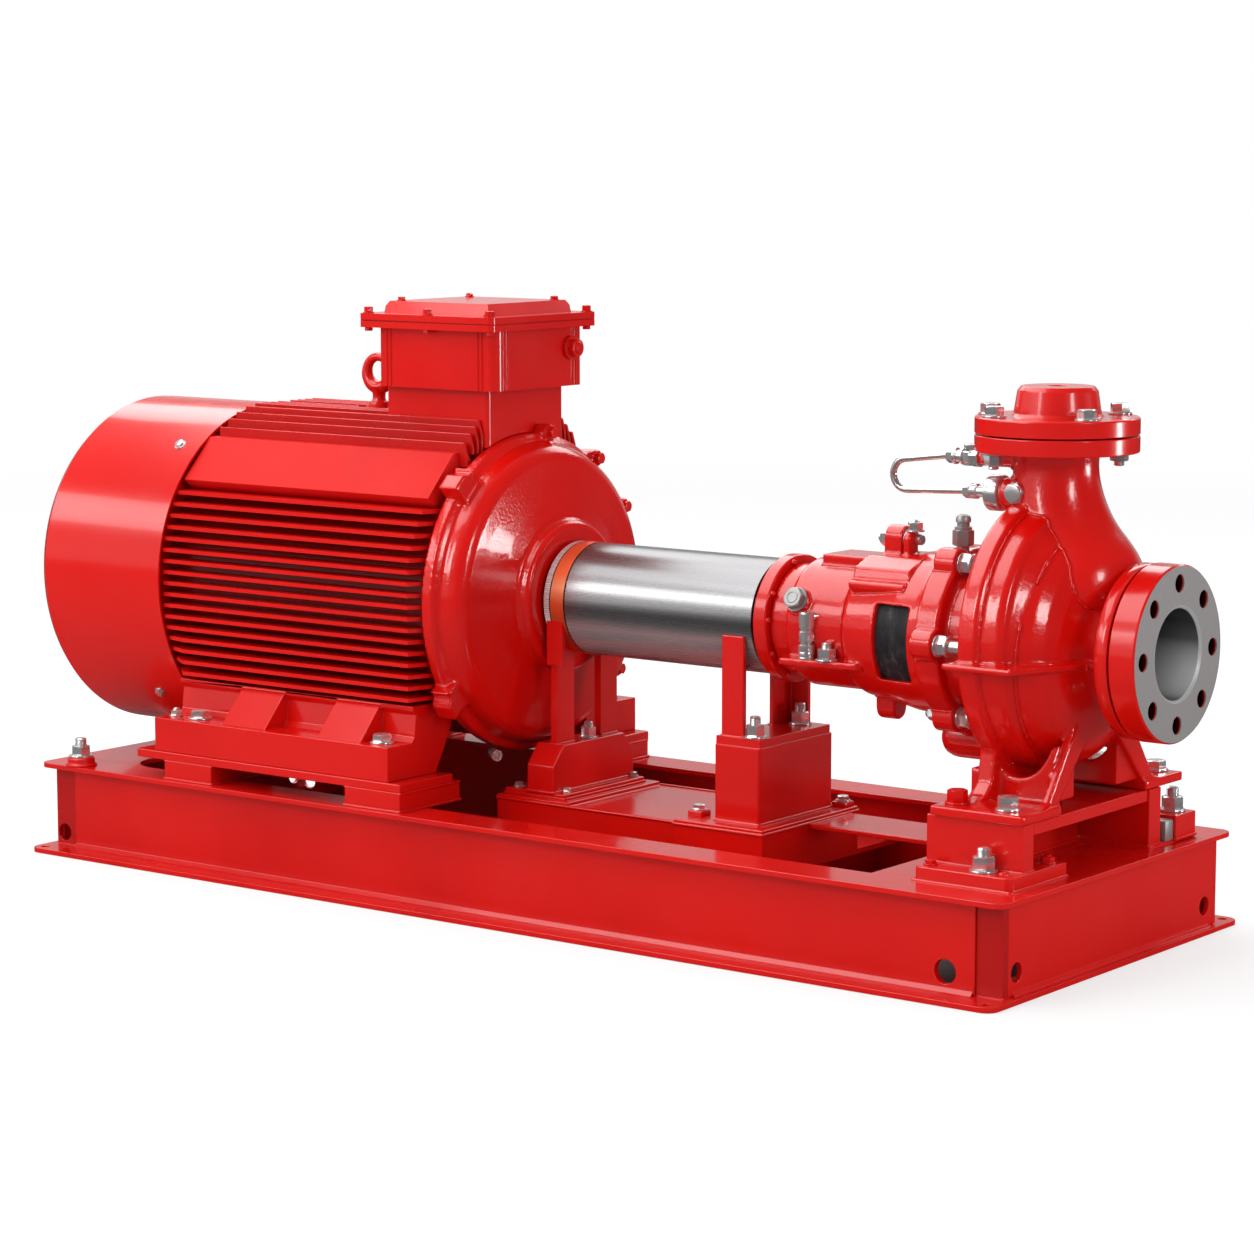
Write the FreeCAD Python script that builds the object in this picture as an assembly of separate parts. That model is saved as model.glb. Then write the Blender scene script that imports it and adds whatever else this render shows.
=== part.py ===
import FreeCAD, Part
import math
import os

V = FreeCAD.Vector

# Driving sizes in millimetres. X runs along the shaft, Z is up, the floor is z = 0.
base_length = 1850.0
base_top_width = 660.0
base_foot_width = 712.0
base_height = 146.0
base_plate = 8.0
flange_reach = 74.0
web_face = 304.0
web_step = 4.0
shaft_height = 455.0
joint_gap = 2.0

motor_back = -979.0
cover_front = -698.0
cover_radius = 275.0
frame_front = -164.0
core_radius = 235.0
fin_radius = 268.0
fin_pitch = 18.0
fin_thick = 6.0
side_fin_count = 17
side_fin_drop = 145.0
side_fin_tip = 263.0
shield_radius = 251.0
boss_face = -61.0
foot_low = 190.0
foot_top = 244.0
foot_outer = 315.0
foot_depth = 95.0
foot_front = -178.0
cover_clearance = 12.0

box_rise = 323.0
box_high = 93.0
lid_thick = 22.0

guard_radius = 87.5
guard_wall = 3.0
guard_back = -53.0
guard_front = 338.0

bracket_back = 346.0
housing_radius = 96.0
lantern_front = 650.0
cover_face = 690.0

casing_back = 766.0
volute_radius = 201.0
volute_lift = 9.5
outlet_x = 804.5
outlet_radius = 61.5
outlet_flange_radius = 116.7
outlet_flange_thick = 24.0
outlet_rise = 323.5
suction_bore_radius = 65.0
suction_mouth_radius = 68.0
flange_back = 939.0
suction_length = 65.0
suction_radius = 126.0
suction_pcd = 200.0
suction_hole_radius = 13.0
pump_shaft_rise = 222.0
pump_foot_thick = 14.0
foot_web_rise = 32.0
foot_rib_rise = 38.0


frame_back = cover_front - 14.0
suction_face = flange_back + suction_length
pump_foot_low = shaft_height - pump_shaft_rise
box_low = shaft_height + box_rise
lid_low = box_low + box_high


def box(x0, x1, y0, y1, z0, z1):
    return Part.makeBox(x1 - x0, y1 - y0, z1 - z0, V(x0, y0, z0))


def rod_x(radius, x0, x1, y=0.0, z=shaft_height):
    return Part.makeCylinder(radius, x1 - x0, V(x0, y, z), V(1, 0, 0))


def rod_y(radius, y0, y1, x, z):
    return Part.makeCylinder(radius, y1 - y0, V(x, y0, z), V(0, 1, 0))


def rod_z(radius, z0, z1, x, y):
    return Part.makeCylinder(radius, z1 - z0, V(x, y, z0), V(0, 0, 1))


def face_of(points):
    return Part.Face(Part.makePolygon(points + [points[0]]))


def prism_x(outline, x0, x1):
    return face_of([V(x0, y, z) for y, z in outline]).extrude(V(x1 - x0, 0, 0))


def prism_y(outline, y0, y1):
    return face_of([V(x, y0, z) for x, z in outline]).extrude(V(0, y1 - y0, 0))


def prism_z(outline, z0, z1):
    return face_of([V(x, y, z0) for x, y in outline]).extrude(V(0, 0, z1 - z0))


def turned_x(profile, z=shaft_height):
    face = face_of([V(x, 0, z + r) for x, r in profile])
    return face.revolve(V(0, 0, z), V(1, 0, 0), 360)


def turned_z(profile, x, y):
    face = face_of([V(x + r, y, z) for r, z in profile])
    return face.revolve(V(x, y, 0), V(0, 0, 1), 360)


def hexagon_z(across, z0, z1, x, y):
    reach = across / math.sqrt(3.0)
    turns = [math.radians(60 * i) for i in range(6)]
    return prism_z([(x + reach * math.cos(t), y + reach * math.sin(t)) for t in turns], z0, z1)


def mirrored(shape):
    return shape.mirror(V(0, 0, 0), V(0, 1, 0))


def both_sides(shape):
    return Part.makeCompound([shape, mirrored(shape)])


def fused(shapes):
    whole = shapes[0]
    for extra in shapes[1:]:
        whole = whole.fuse(extra)
    return whole.removeSplitter()


def pattern_x(radius, x0, x1, pitch_radius, count, first=0.0):
    holes = []
    for i in range(count):
        turn = math.radians(first + 360.0 * i / count)
        y = pitch_radius * math.cos(turn)
        z = shaft_height + pitch_radius * math.sin(turn)
        holes.append(rod_x(radius, x0, x1, y, z))
    return Part.makeCompound(holes)


def pattern_z(radius, z0, z1, x, y, pitch_radius, count, first=0.0):
    holes = []
    for i in range(count):
        turn = math.radians(first + 360.0 * i / count)
        holes.append(rod_z(radius, z0, z1, x + pitch_radius * math.cos(turn),
                           y + pitch_radius * math.sin(turn)))
    return Part.makeCompound(holes)


def rounded_uprights(shape, radius, chosen):
    edges = []
    for edge in shape.Edges:
        ends = [v.Point for v in edge.Vertexes]
        if len(ends) < 2:
            continue
        upright = abs(ends[0].x - ends[1].x) < 1e-6 and abs(ends[0].y - ends[1].y) < 1e-6
        if upright and chosen(ends[0].x, ends[0].y):
            edges.append(edge)
    return shape.makeFillet(radius, edges)


# Base frame

half_length = base_length / 2.0
end_web_face = half_length - 14.0
half_top = base_top_width / 2.0
half_foot = base_foot_width / 2.0
flange_low = base_height - base_plate
opening_half = half_top - flange_reach
web_inner = web_face - base_plate
foot_inner = 280.0
weld = 6.0


def long_beam():
    corner = 20.0
    top = box(-half_length, half_length, -half_top, -opening_half, flange_low, base_height)
    top = rounded_uprights(top, corner, lambda x, y: y < -half_top + 1)
    foot = box(-half_length, half_length, -half_foot, -foot_inner, 0, base_plate)
    foot = rounded_uprights(foot, corner, lambda x, y: y < -half_foot + 1)
    web = box(-end_web_face, end_web_face, -web_face, -web_inner, base_plate, flange_low)
    panel_left = 62.0 - half_length
    panel_right = half_length - 59.0
    panel_face = web_face + web_step
    panel = box(panel_left, panel_right, -panel_face, -web_face, base_plate, flange_low)
    bead = prism_x([(-panel_face, base_plate), (-panel_face - weld, base_plate),
                    (-panel_face, base_plate + weld)], panel_left, panel_right)
    beam = fused([top, foot, web, panel, bead])
    beam = beam.cut(rod_y(17.5, -half_top, -web_inner + 1, half_length - 104.0, 36.0))
    beam = beam.cut(rod_y(14.0, -half_top, -web_inner + 1, 31.0 - half_length, 28.0))
    for x in (-anchor_x, anchor_x):
        beam = beam.cut(rod_z(anchor_radius, -1, base_plate + 1, x, -anchor_y))
    return beam


anchor_x = half_length - 20.0
anchor_y = half_foot - 18.0
anchor_radius = 7.0
deck_edge = half_length - 260.0
motor_opening = half_length - 125.0


def end_beam(inner_edge):
    web_back = end_web_face - base_plate
    top = box(inner_edge, half_length, -opening_half, opening_half, flange_low, base_height)
    foot = box(half_length - 76.0, half_length, -foot_inner, foot_inner, 0, base_plate)
    web = box(web_back, end_web_face, -web_inner, web_inner, base_plate, flange_low)
    bead = prism_y([(end_web_face, base_plate), (end_web_face + weld, base_plate),
                    (end_web_face, base_plate + weld)], -foot_inner, foot_inner)
    beam = fused([top, foot, web, bead])
    for y in (-268.0, 268.0):
        beam = beam.cut(rod_x(14.0, web_back - 1, end_web_face + 1, y, 40.0))
    return beam


def motor_end_beam():
    beam = end_beam(motor_opening).mirror(V(0, 0, 0), V(1, 0, 0))
    return beam.cut(rod_x(cover_radius + cover_clearance, motor_back, cover_front))


def corner_webs():
    arch = 60.0
    web = box(-motor_opening, arch - motor_opening, -opening_half, arch - opening_half,
              flange_low, base_height)
    return both_sides(web.cut(rod_z(arch, 0, 200, arch - motor_opening, arch - opening_half)))


def cross_i(x, width, low, high):
    flange = 8.0
    outline = [(x - width / 2, low), (x + width / 2, low), (x + width / 2, low + flange),
               (x + flange / 2, low + flange), (x + flange / 2, high - flange),
               (x + width / 2, high - flange), (x + width / 2, high),
               (x - width / 2, high), (x - width / 2, high - flange),
               (x - flange / 2, high - flange), (x - flange / 2, low + flange),
               (x - width / 2, low + flange)]
    return prism_y(outline, -web_inner, web_inner)


deck_low = 105.0
plinth_low = 78.0
deck_back = -122.0
plinth_back = 226.0
plinth_front = 390.0
plinth_top = 153.0


def cross_members():
    return Part.makeCompound([cross_i(-62.0, 80.0, 30.0, deck_low),
                              cross_i(308.0, 120.0, 12.0, plinth_low)])


def center_deck():
    deck = box(deck_back, plinth_back, -120.0, 120.0, deck_low, base_height)
    pad = box(deck_back, 18.0, -120.0, 120.0, base_height, pad_top)
    return fused([deck, pad])


pad_top = 152.0


def right_plinth():
    return box(plinth_back, plinth_front, -128.0, 128.0, plinth_low, plinth_top)


def tie_plate():
    return box(plinth_front, deck_edge, -8.0, 103.0, flange_low, base_height)


def stud_bosses():
    low = base_height
    ring = turned_z([(0, low), (26, low), (26, low + 3), (22.5, low + 5), (22.5, low + 12),
                     (20.5, low + 14), (0, low + 14)], 77.0 - half_length, 22.0 - half_top)
    return both_sides(ring)


# Motor

sole_low = 176.0


def motor_spacers():
    front = [box(-265, -153, -317, -172, base_height, sole_low),
             box(-650, -548, -317, -172, base_height, sole_low)]
    return Part.makeCompound(front + [mirrored(s) for s in front])


def sole_plates():
    return both_sides(box(-711, -152, -317, -190, sole_low, foot_low))


def motor_feet():
    back = -672.0
    inner = foot_outer - foot_depth
    ledge = shaft_height - 155.0
    rise = ledge - foot_top
    bar = [(-foot_outer, foot_low), (-foot_outer, foot_top), (-258, foot_top),
           (-251, foot_top + rise / 7), (-247, ledge - rise / 4), (-254, ledge - rise / 9),
           (-254, ledge), (-160, ledge), (-160, foot_top + rise / 3), (-inner + 20, foot_low)]
    foot = prism_x(bar, back, foot_front)
    for low, high in ((-535, -443), (-333, -244)):
        rib = [(-303, foot_top), (-252, ledge), (-230, ledge), (-230, foot_top)]
        foot = foot.fuse(prism_x(rib, low, high))
    foot = foot.removeSplitter()
    foot = foot.cut(rod_x(core_radius, back - 10, frame_front))
    foot = foot.cut(rod_x(shield_radius, frame_front, foot_front + 200))
    return both_sides(foot)


def neck_column(high):
    block = box(-364, -157, -95.5, 95.5, shaft_height + 105.0, high)
    return rounded_uprights(block, 8, lambda x, y: True).cut(rod_x(shield_radius, -500, 0))


def neck_block():
    return neck_column(box_low)


def side_fin(z):
    lift = abs(z - shaft_height)
    rear_tip = min(side_fin_tip, math.sqrt(fin_radius ** 2 - lift ** 2))
    tip = rear_tip if z > shaft_height else side_fin_tip
    root = math.sqrt(core_radius ** 2 - lift ** 2) - 8.0
    outline = [(frame_back, -root), (frame_front, -root), (frame_front, -root - 10),
               (frame_front - 16, -tip), (cover_front + 40, -tip), (cover_front, -rear_tip),
               (frame_back, -rear_tip)]
    return prism_z(outline, z - fin_thick / 2, z + fin_thick / 2)


def top_fin(y):
    tip = shaft_height + math.sqrt(fin_radius ** 2 - y ** 2)
    root = shaft_height + math.sqrt(core_radius ** 2 - y ** 2) - 8.0
    outline = [(frame_back, root), (frame_front, root), (frame_front, root + 10),
               (frame_front - 16, tip), (frame_back, tip)]
    return prism_y(outline, y - fin_thick / 2, y + fin_thick / 2)


def motor_frame():
    parts = [rod_x(core_radius, frame_back, frame_front)]
    outline = [(-211, 163), (-203, 172), (-149, 228), (-136, 229), (-120, 185), (-180, 135)]
    pad = prism_x([(y, shaft_height + rise) for y, rise in outline], frame_back,
                  frame_front - 17)
    lowest = shaft_height - side_fin_drop
    sides = [pad] + [side_fin(lowest + fin_pitch * i) for i in range(side_fin_count)]
    sides += [top_fin(-(15.0 + fin_pitch * i)) for i in range(7)]
    for side in sides:
        parts.append(side)
        parts.append(mirrored(side))
    parts.append(rod_z(22, shaft_height + 185, eye_low, eye_x, 0))
    frame = fused(parts)
    frame = frame.cut(neck_column(box_low))
    return frame.cut(rod_x(cover_radius - 4, frame_back - 1, cover_front).cut(
        rod_x(core_radius, frame_back - 1, cover_front)))


def fan_cover():
    lip = 4.0
    hood = turned_x([(motor_back, 0), (motor_back, 246), (motor_back + 3, 258),
                     (motor_back + 10, 267), (motor_back + 22, cover_radius),
                     (cover_front, cover_radius), (cover_front, cover_radius - lip),
                     (frame_back, cover_radius - lip), (frame_back, 0)])
    slots = []
    for i in range(6):
        inner = 34.0 + 30.0 * i
        slots.append(rod_x(inner + 20, motor_back - 1, motor_back + 14).cut(
            rod_x(inner, motor_back - 1, motor_back + 14)))
    reach = cover_radius - 18.0
    spokes = fused([box(motor_back - 2, motor_back + 15, -4, 4, shaft_height - reach,
                        shaft_height + reach),
                    box(motor_back - 2, motor_back + 15, -reach, reach, shaft_height - 4,
                        shaft_height + 4)])
    for slot in slots:
        hood = hood.cut(slot.cut(spokes))
    return hood


def shield_lug(turn):
    pitch = shield_radius + 2.0
    y = pitch * math.cos(math.radians(turn))
    z = shaft_height + pitch * math.sin(math.radians(turn))
    return rod_x(14, frame_front, -132, y, z)


def clamp_block(turn):
    block = box(frame_front, -128, -24, 24, shaft_height + shield_radius - 20,
                shaft_height + shield_radius + 24)
    bevel = box(-200, -100, 12, 40, -12, 12).rotate(V(0, 0, 0), V(1, 0, 0), 45)
    block = block.cut(bevel.translated(V(0, 0, shaft_height + shield_radius + 10)))
    return block.rotate(V(0, 0, shaft_height), V(1, 0, 0), turn - 90)


def drive_end_shield():
    seam = frame_front + 20.0
    body = turned_x([(frame_front, 0), (frame_front, shield_radius), (seam, shield_radius),
                     (seam, shield_radius - 5), (seam + 5, shield_radius - 5),
                     (seam + 5, 239), (-124, 236), (-112, 231), (-104, 224), (-99, 214),
                     (-95, 190), (-87, 150), (-79, 119.6), (-66, 117.5), (boss_face, 113),
                     (boss_face, 0)])
    parts = [body]
    for turn in (28, 53, 83, 325):
        parts.append(shield_lug(turn))
    for turn in (134, 215):
        parts.append(clamp_block(turn))
    return fused(parts).cut(neck_block())


def terminal_box():
    back, front, half = -369, -128, 113
    groove = 2.0
    body = rounded_uprights(box(back, front, -half, half, box_low, lid_low), 18,
                            lambda x, y: True)
    for x, inward in ((back, 1), (front, -1)):
        for y in (-half, half):
            for step in (24, 32):
                body = body.cut(rod_z(groove, box_low - 1, lid_low + 1, x + inward * step, y))
                across = y - math.copysign(step, y)
                body = body.cut(rod_z(groove, box_low - 1, lid_low + 1, x, across))
    return body


def terminal_box_lid():
    low = lid_low
    split = low + lid_thick / 2
    plate = rounded_uprights(box(lid_back, lid_front, -lid_half, lid_half, low, split - 1), 10,
                             lambda x, y: True)
    upper = rounded_uprights(box(lid_back, lid_front, -lid_half, lid_half, split + 1,
                                 low + lid_thick), 10, lambda x, y: True)
    seam = box(lid_back + 3, lid_front - 3, 3 - lid_half, lid_half - 3, split - 1, split + 1)
    base = Part.makePolygon([V(x, y, low + lid_thick) for x, y in lid_ring(24)])
    top = Part.makePolygon([V(x, y, low + lid_thick + 19) for x, y in lid_ring(36)])
    panel = Part.makeLoft([base, top], True, True)
    lid = fused([plate, seam, upper, panel])
    for x in (lid_back + 14, lid_front - 14):
        for y in (14 - lid_half, lid_half - 14):
            lid = lid.cut(rod_z(24, low + lid_thick, low + lid_thick + 40, x, y))
    return lid


lid_back = -389.0
lid_front = -118.0
lid_half = 133.0


def lid_ring(inset):
    x0, x1 = lid_back + inset, lid_front - inset
    y0, y1 = inset - lid_half, lid_half - inset
    return [(x0, y0), (x1, y0), (x1, y1), (x0, y1), (x0, y0)]


def cable_plug():
    plug = turned_x([(-128, 0), (-128, 19), (-122, 19), (-122, 14), (-111, 14), (-111, 11),
                     (-107, 8), (-107, 0)], shaft_height + 383.0)
    return plug.translated(V(0, 76, 0))


eye_x = -462.0
eye_low = shaft_height + 280.0
eye_middle = shaft_height + 335.0


def lifting_eye():
    collar = rod_z(18, eye_low, eye_low + 8, eye_x, 0)
    shank = rod_z(10, eye_low, eye_middle - 20, eye_x, 0)
    ring = turned_x([(-8, 23), (-5, 18), (5, 18), (8, 23), (8, 27), (5, 32), (-5, 32),
                     (-8, 27)], 0)
    ring = ring.rotate(V(0, 0, 0), V(0, 0, 1), 90).translated(V(eye_x, 0, eye_middle))
    return fused([collar, shank.cut(rod_y(18, -20, 20, eye_x, eye_middle)), ring])


# Coupling run

def coupling_guard():
    tube = rod_x(guard_radius, guard_back, guard_front)
    return tube.cut(rod_x(guard_radius - guard_wall, guard_back - 1, guard_front + 1))


def guard_band():
    return rod_x(guard_radius + 0.8, -40, -15).cut(rod_x(guard_radius, -41, -14))


def coupling():
    return turned_x([(boss_face, 0), (boss_face, 32), (70, 32), (70, 62), (134, 62), (134, 50),
                     (142, 50), (142, 62), (206, 62), (206, 26), (bracket_back, 26),
                     (bracket_back, 0)])


def left_saddle():
    plate = box(-119, 0, -103, 103, pad_top, pad_top + base_plate)
    saddle = prism_x([(-103, 160), (-103, 201), (-77, 232), (77, 232), (103, 201), (103, 160)],
                     -75, -22)
    return fused([plate, saddle])


def left_posts():
    bar = box(-48, -35, -76, -34, 232, shaft_height - 55)
    tab = box(-50, -20, -84, -76, shaft_height - 98, shaft_height - 29)
    post = fused([bar, tab]).cut(rod_x(guard_radius, guard_back - 5, guard_front))
    return both_sides(lowest_solid(post.cut(rod_x(guard_radius + 0.8, -40, -15))))


def lowest_solid(shape):
    return min(shape.Solids, key=lambda s: s.BoundBox.ZMin)


def right_pedestal():
    column = rounded_uprights(box(280, 362, -98, 98, plinth_top, 268), 5, lambda x, y: True)
    return fused([column, box(280, 360, -93, 93, 268, post_low)])


post_low = 281.0


def right_posts():
    outer = box(287, 327, -90, -82, post_low, shaft_height - 22)
    inner = box(287, 295, -82, -35, post_low, shaft_height - 50)
    post = fused([outer, inner]).cut(rod_x(guard_radius, 200, 338))
    return both_sides(lowest_solid(post))


# Bearing bracket

ledge_top = shaft_height - 43.0


def bearing_cover():
    return turned_x([(bracket_back, 0), (bracket_back, 93), (bracket_back + 3, 96),
                     (cover_step - 2, 96), (cover_step, 94), (cover_step, 0)])


cover_step = bracket_back + 24.0


def lug_x(x0, x1, y, z0, z1, radius):
    return fused([rod_x(radius, x0, x1, y, z1 - radius),
                  box(x0, x1, y - radius, y + radius, z0, z1 - radius)])


def window_cut():
    return box(567, 630, -200, 200, shaft_height - 63, shaft_height + 48)


def bearing_housing():
    barrel = turned_x([(cover_step, 0), (cover_step, 84), (404, 84), (404, 92),
                       (410, housing_radius), (505, housing_radius), (512, 102),
                       (555, 108), (600, 117), (640, 120), (lantern_front, 122),
                       (lantern_front, 0)])
    outline = [(-20, 110), (-45, 110), (-80, 96), (-86, 78), (-97, 77), (-98, 69), (-60, 35)]
    panel = prism_x([(y, shaft_height + rise) for y, rise in outline], 517, 612)
    parts = [barrel, panel, mirrored(panel)]
    top = shaft_height + 100.0
    parts.append(box(432, 520, -38, 38, top - 20, top + 5))
    parts.append(lug_x(527, 557, 0, top, top + 52, 18))
    parts.append(lug_x(563, 574, -10, top, top + 45, 13))
    lower = lug_x(515, 547, 0, 0, 36, 18)
    lower.rotate(V(0, 0, 0), V(1, 0, 0), 180)
    parts.append(lower.translated(V(0, 0, shaft_height - 100)))
    plate = [(405, -55), (405, -112), (410, -117), (534, -104), (540, -98), (540, -55)]
    parts.append(both_sides(prism_z(plate, ledge_top - 10, ledge_top)))
    parts.append(rod_between(plug_seat(-24), plug_seat(0), 19))
    return fused(parts).cut(window_cut())


def plug_seat(step):
    reach = housing_radius + 6.0 + step
    turn = math.radians(156)
    return V(425, reach * math.cos(turn), shaft_height + reach * math.sin(turn))


def rod_between(start, end, radius):
    along = end.sub(start)
    return Part.makeCylinder(radius, along.Length, start, along)


def window_mesh():
    sheet = rod_x(102, 567, 630).cut(rod_x(99, 560, 640))
    return sheet.common(window_cut())


def housing_plugs():
    neck = rod_between(plug_seat(0), plug_seat(3), 17)
    head = rod_between(plug_seat(3), plug_seat(17), 13)
    low = shaft_height + 117.0
    vent = fused([rod_z(9, low, low + 16, 676, -40), hexagon_z(20, low + 16, low + 36, 676, -40),
                  rod_z(8, low + 36, low + 52, 676, -40),
                  rod_z(5, low + 52, low + 58, 676, -40)])
    return Part.makeCompound([fused([head, neck]), vent.cut(casing_cover())])


def oiler():
    x = 447.0
    y = -100.0
    cup = fused([rod_z(10, ledge_top, ledge_top + 28, x, y),
                 hexagon_z(17, ledge_top + 28, ledge_top + 42, x, y),
                 rod_z(11, ledge_top + 42, ledge_top + 70, x, y)])
    elbow = rod_y(6, y, 12 - housing_radius, x, ledge_top + 58)
    return fused([cup, elbow]).cut(rod_x(housing_radius, 412, 505))


def casing_cover():
    disc = turned_x([(lantern_front, 0), (lantern_front, 128), (653, 131), (686, 131),
                     (cover_face, 128), (cover_face, 112), (casing_back, 112),
                     (casing_back, 0)])
    parts = [disc]
    for i in range(6):
        turn = math.radians(60 * i)
        parts.append(rod_x(23, lantern_front + 4, cover_face, 127 * math.cos(turn),
                           shaft_height + 127 * math.sin(turn)))
    return fused(parts)


def drain_boss():
    boss = turned_x([(626, 0), (626, 8), (629, 17), (636, 25), (646, 29), (654, 30),
                     (casing_back, 30), (casing_back, 0)], shaft_height - 151)
    return boss.cut(casing_cover())


# Pump

def ellipse_z(x, half_x, half_y, z):
    curve = Part.Ellipse(V(x, half_y, z), V(x + half_x, 0, z), V(x, 0, z))
    return Part.Wire([curve.toShape()])


def outlet_neck():
    rings = []
    top = outlet_flange_low - shaft_height
    for rise, x, half_x, half_y in ((top, outlet_x, outlet_radius, outlet_radius + 0.1),
                                    (235, outlet_x, outlet_radius, outlet_radius + 0.1),
                                    (197, 813, 65, 68), (169, 826, 69, 72),
                                    (143, 843, 75, 76), (121, 851, 80, 84), (65, 850, 82, 88)):
        rings.append(ellipse_z(x, half_x, half_y, shaft_height + rise))
    return Part.makeLoft(rings, True, False)


def volute():
    lift = shaft_height + volute_lift
    rim = turned_x([(casing_back, 0), (casing_back, volute_radius - 3),
                    (casing_back + 3, volute_radius), (794, volute_radius), (797, 197),
                    (797, 193), (824, 191), (832, 186), (835, 178), (841, 172),
                    (852, 160), (852, 0)], lift)
    dome = turned_x([(800, 0), (800, 172), (846, 169), (860, 161), (874, 146), (886, 124),
                     (895, 102), (903, 87), (913, 78), (925, 74), (flange_back, 74),
                     (flange_back, 0)])
    return [rim, dome]


def pump_casing():
    half = [(750, 215), (861, 215), (911, 92), (flange_back, 74)]
    rib = prism_z(half + [(x, -y) for x, y in reversed(half)], shaft_height - 19,
                  shaft_height - 10)
    rib = rib.cut(rod_x(112, 700, casing_back))
    low_boss = rod_x(24, ring_front, 770, tube_y, tube_low)
    high_boss = rod_x(12, high_fitting_end, 750, tube_y, tube_high)
    plug_boss = rod_y(20, -50, 0, 772, tube_low + 4)
    plug_web = prism_y([(766, tube_low - 14), (786, tube_low + 16), (800, tube_low - 2),
                        (822, tube_low - 30), (822, tube_low - 50), (782, tube_low - 50)],
                       -44, 0)
    casing = fused(volute() + [outlet_neck(), rib, low_boss, high_boss, plug_boss, plug_web])
    casing = casing.cut(box(flange_back, flange_back + 60, -200, 200, 400, 700))
    return casing.cut(rod_x(suction_bore_radius, 850, suction_face))


# Flush line from the outlet neck, bent from rigid tube

tube_radius = 5.0
tube_y = -20.0
tube_low = shaft_height + 211.0
tube_high = shaft_height + 260.0
ring_back = 711.0
ring_front = 735.0
high_fitting_end = 692.0


def flush_pipe():
    bend = 22.5
    middle_x, middle_z = 566.0, (tube_low + tube_high) / 2 - 6.5
    low_slope, high_slope = math.radians(2.5), math.radians(7.0)

    def at(x, z):
        return V(x, tube_y, z)

    low_start = at(middle_x + bend * math.sin(low_slope), middle_z - bend * math.cos(low_slope))
    low_reach = 672.0 - low_start.x
    low_end = low_start.add(V(low_reach, 0, low_reach * math.tan(low_slope)))
    high_start = at(middle_x - bend * math.sin(high_slope),
                    middle_z + bend * math.cos(high_slope))
    high_reach = 645.0 - high_start.x
    high_end = high_start.add(V(high_reach, 0, high_reach * math.tan(high_slope)))
    arc = Part.Arc(low_start, at(middle_x - bend, middle_z), high_start).toShape()
    path = Part.Wire([Part.makeLine(low_end, low_start), arc,
                      Part.makeLine(high_start, high_end)])
    along = low_start.sub(low_end)
    section = Part.Wire([Part.makeCircle(tube_radius, low_end, along)])
    tube = path.makePipeShell([section], True, True)
    return tube.cut(flush_fittings())


def hexagon_x(across, x0, x1, z):
    reach = across / math.sqrt(3.0)
    turns = [math.radians(60 * i) for i in range(6)]
    return prism_x([(reach * math.cos(t), z + reach * math.sin(t)) for t in turns], x0, x1)


def flush_fittings():
    low = fused([hexagon_x(16, 667, 676, tube_low), rod_x(11, 676, 688, 0, tube_low),
                 rod_x(7, 688, ring_back, 0, tube_low),
                 rod_x(26, ring_back, ring_front, 0, tube_low)])
    high = fused([hexagon_x(16, 638, 647, tube_high), rod_x(11, 647, 660, 0, tube_high),
                  rod_x(7, 660, 672, 0, tube_high),
                  hexagon_x(26, 672, high_fitting_end, tube_high)])
    return Part.makeCompound([low.translated(V(0, tube_y, 0)), high.translated(V(0, tube_y, 0))])


def suction_flange():
    seam = flange_back + 21.0
    ring = turned_x([(flange_back, 0), (flange_back, 117), (flange_back + 2, 119),
                     (seam - 1, 119), (seam, 118), (seam, 108), (seam + 3.5, 108),
                     (seam + 3.5, suction_radius - 1.5), (seam + 5, suction_radius),
                     (suction_face - 3, suction_radius), (suction_face, suction_radius - 2.5),
                     (suction_face, 0)])
    mouth = turned_x([(suction_face - 3, 0), (suction_face - 3, suction_bore_radius),
                      (suction_face, suction_mouth_radius), (suction_face, 0)])
    ring = ring.cut(rod_x(suction_bore_radius, flange_back - 1, suction_face + 1)).cut(mouth)
    return ring.cut(pattern_x(suction_hole_radius, flange_back - 1, suction_face + 1,
                              suction_pcd / 2, 8))


outlet_top = shaft_height + outlet_rise
outlet_flange_low = outlet_top - 2 * outlet_flange_thick - joint_gap
outlet_joint = outlet_flange_low + outlet_flange_thick


def discharge_flange():
    disc = turned_z([(0, outlet_flange_low), (outlet_flange_radius, outlet_flange_low),
                     (outlet_flange_radius, outlet_joint), (0, outlet_joint)], outlet_x, 0)
    return disc


def companion_flange():
    low = outlet_joint + joint_gap
    cap = turned_z([(0, outlet_joint), (96, outlet_joint), (96, low),
                    (outlet_flange_radius, low), (outlet_flange_radius, outlet_top - 2),
                    (outlet_flange_radius - 2, outlet_top), (66, outlet_top),
                    (62, outlet_top + 4.5), (57, outlet_top + 36.5), (52, outlet_top + 42.5),
                    (0, outlet_top + 42.5)], outlet_x, 0)
    return cap.cut(rod_z(13.5, outlet_top + 2.5, outlet_top + 43.5, outlet_x, 0))


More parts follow.
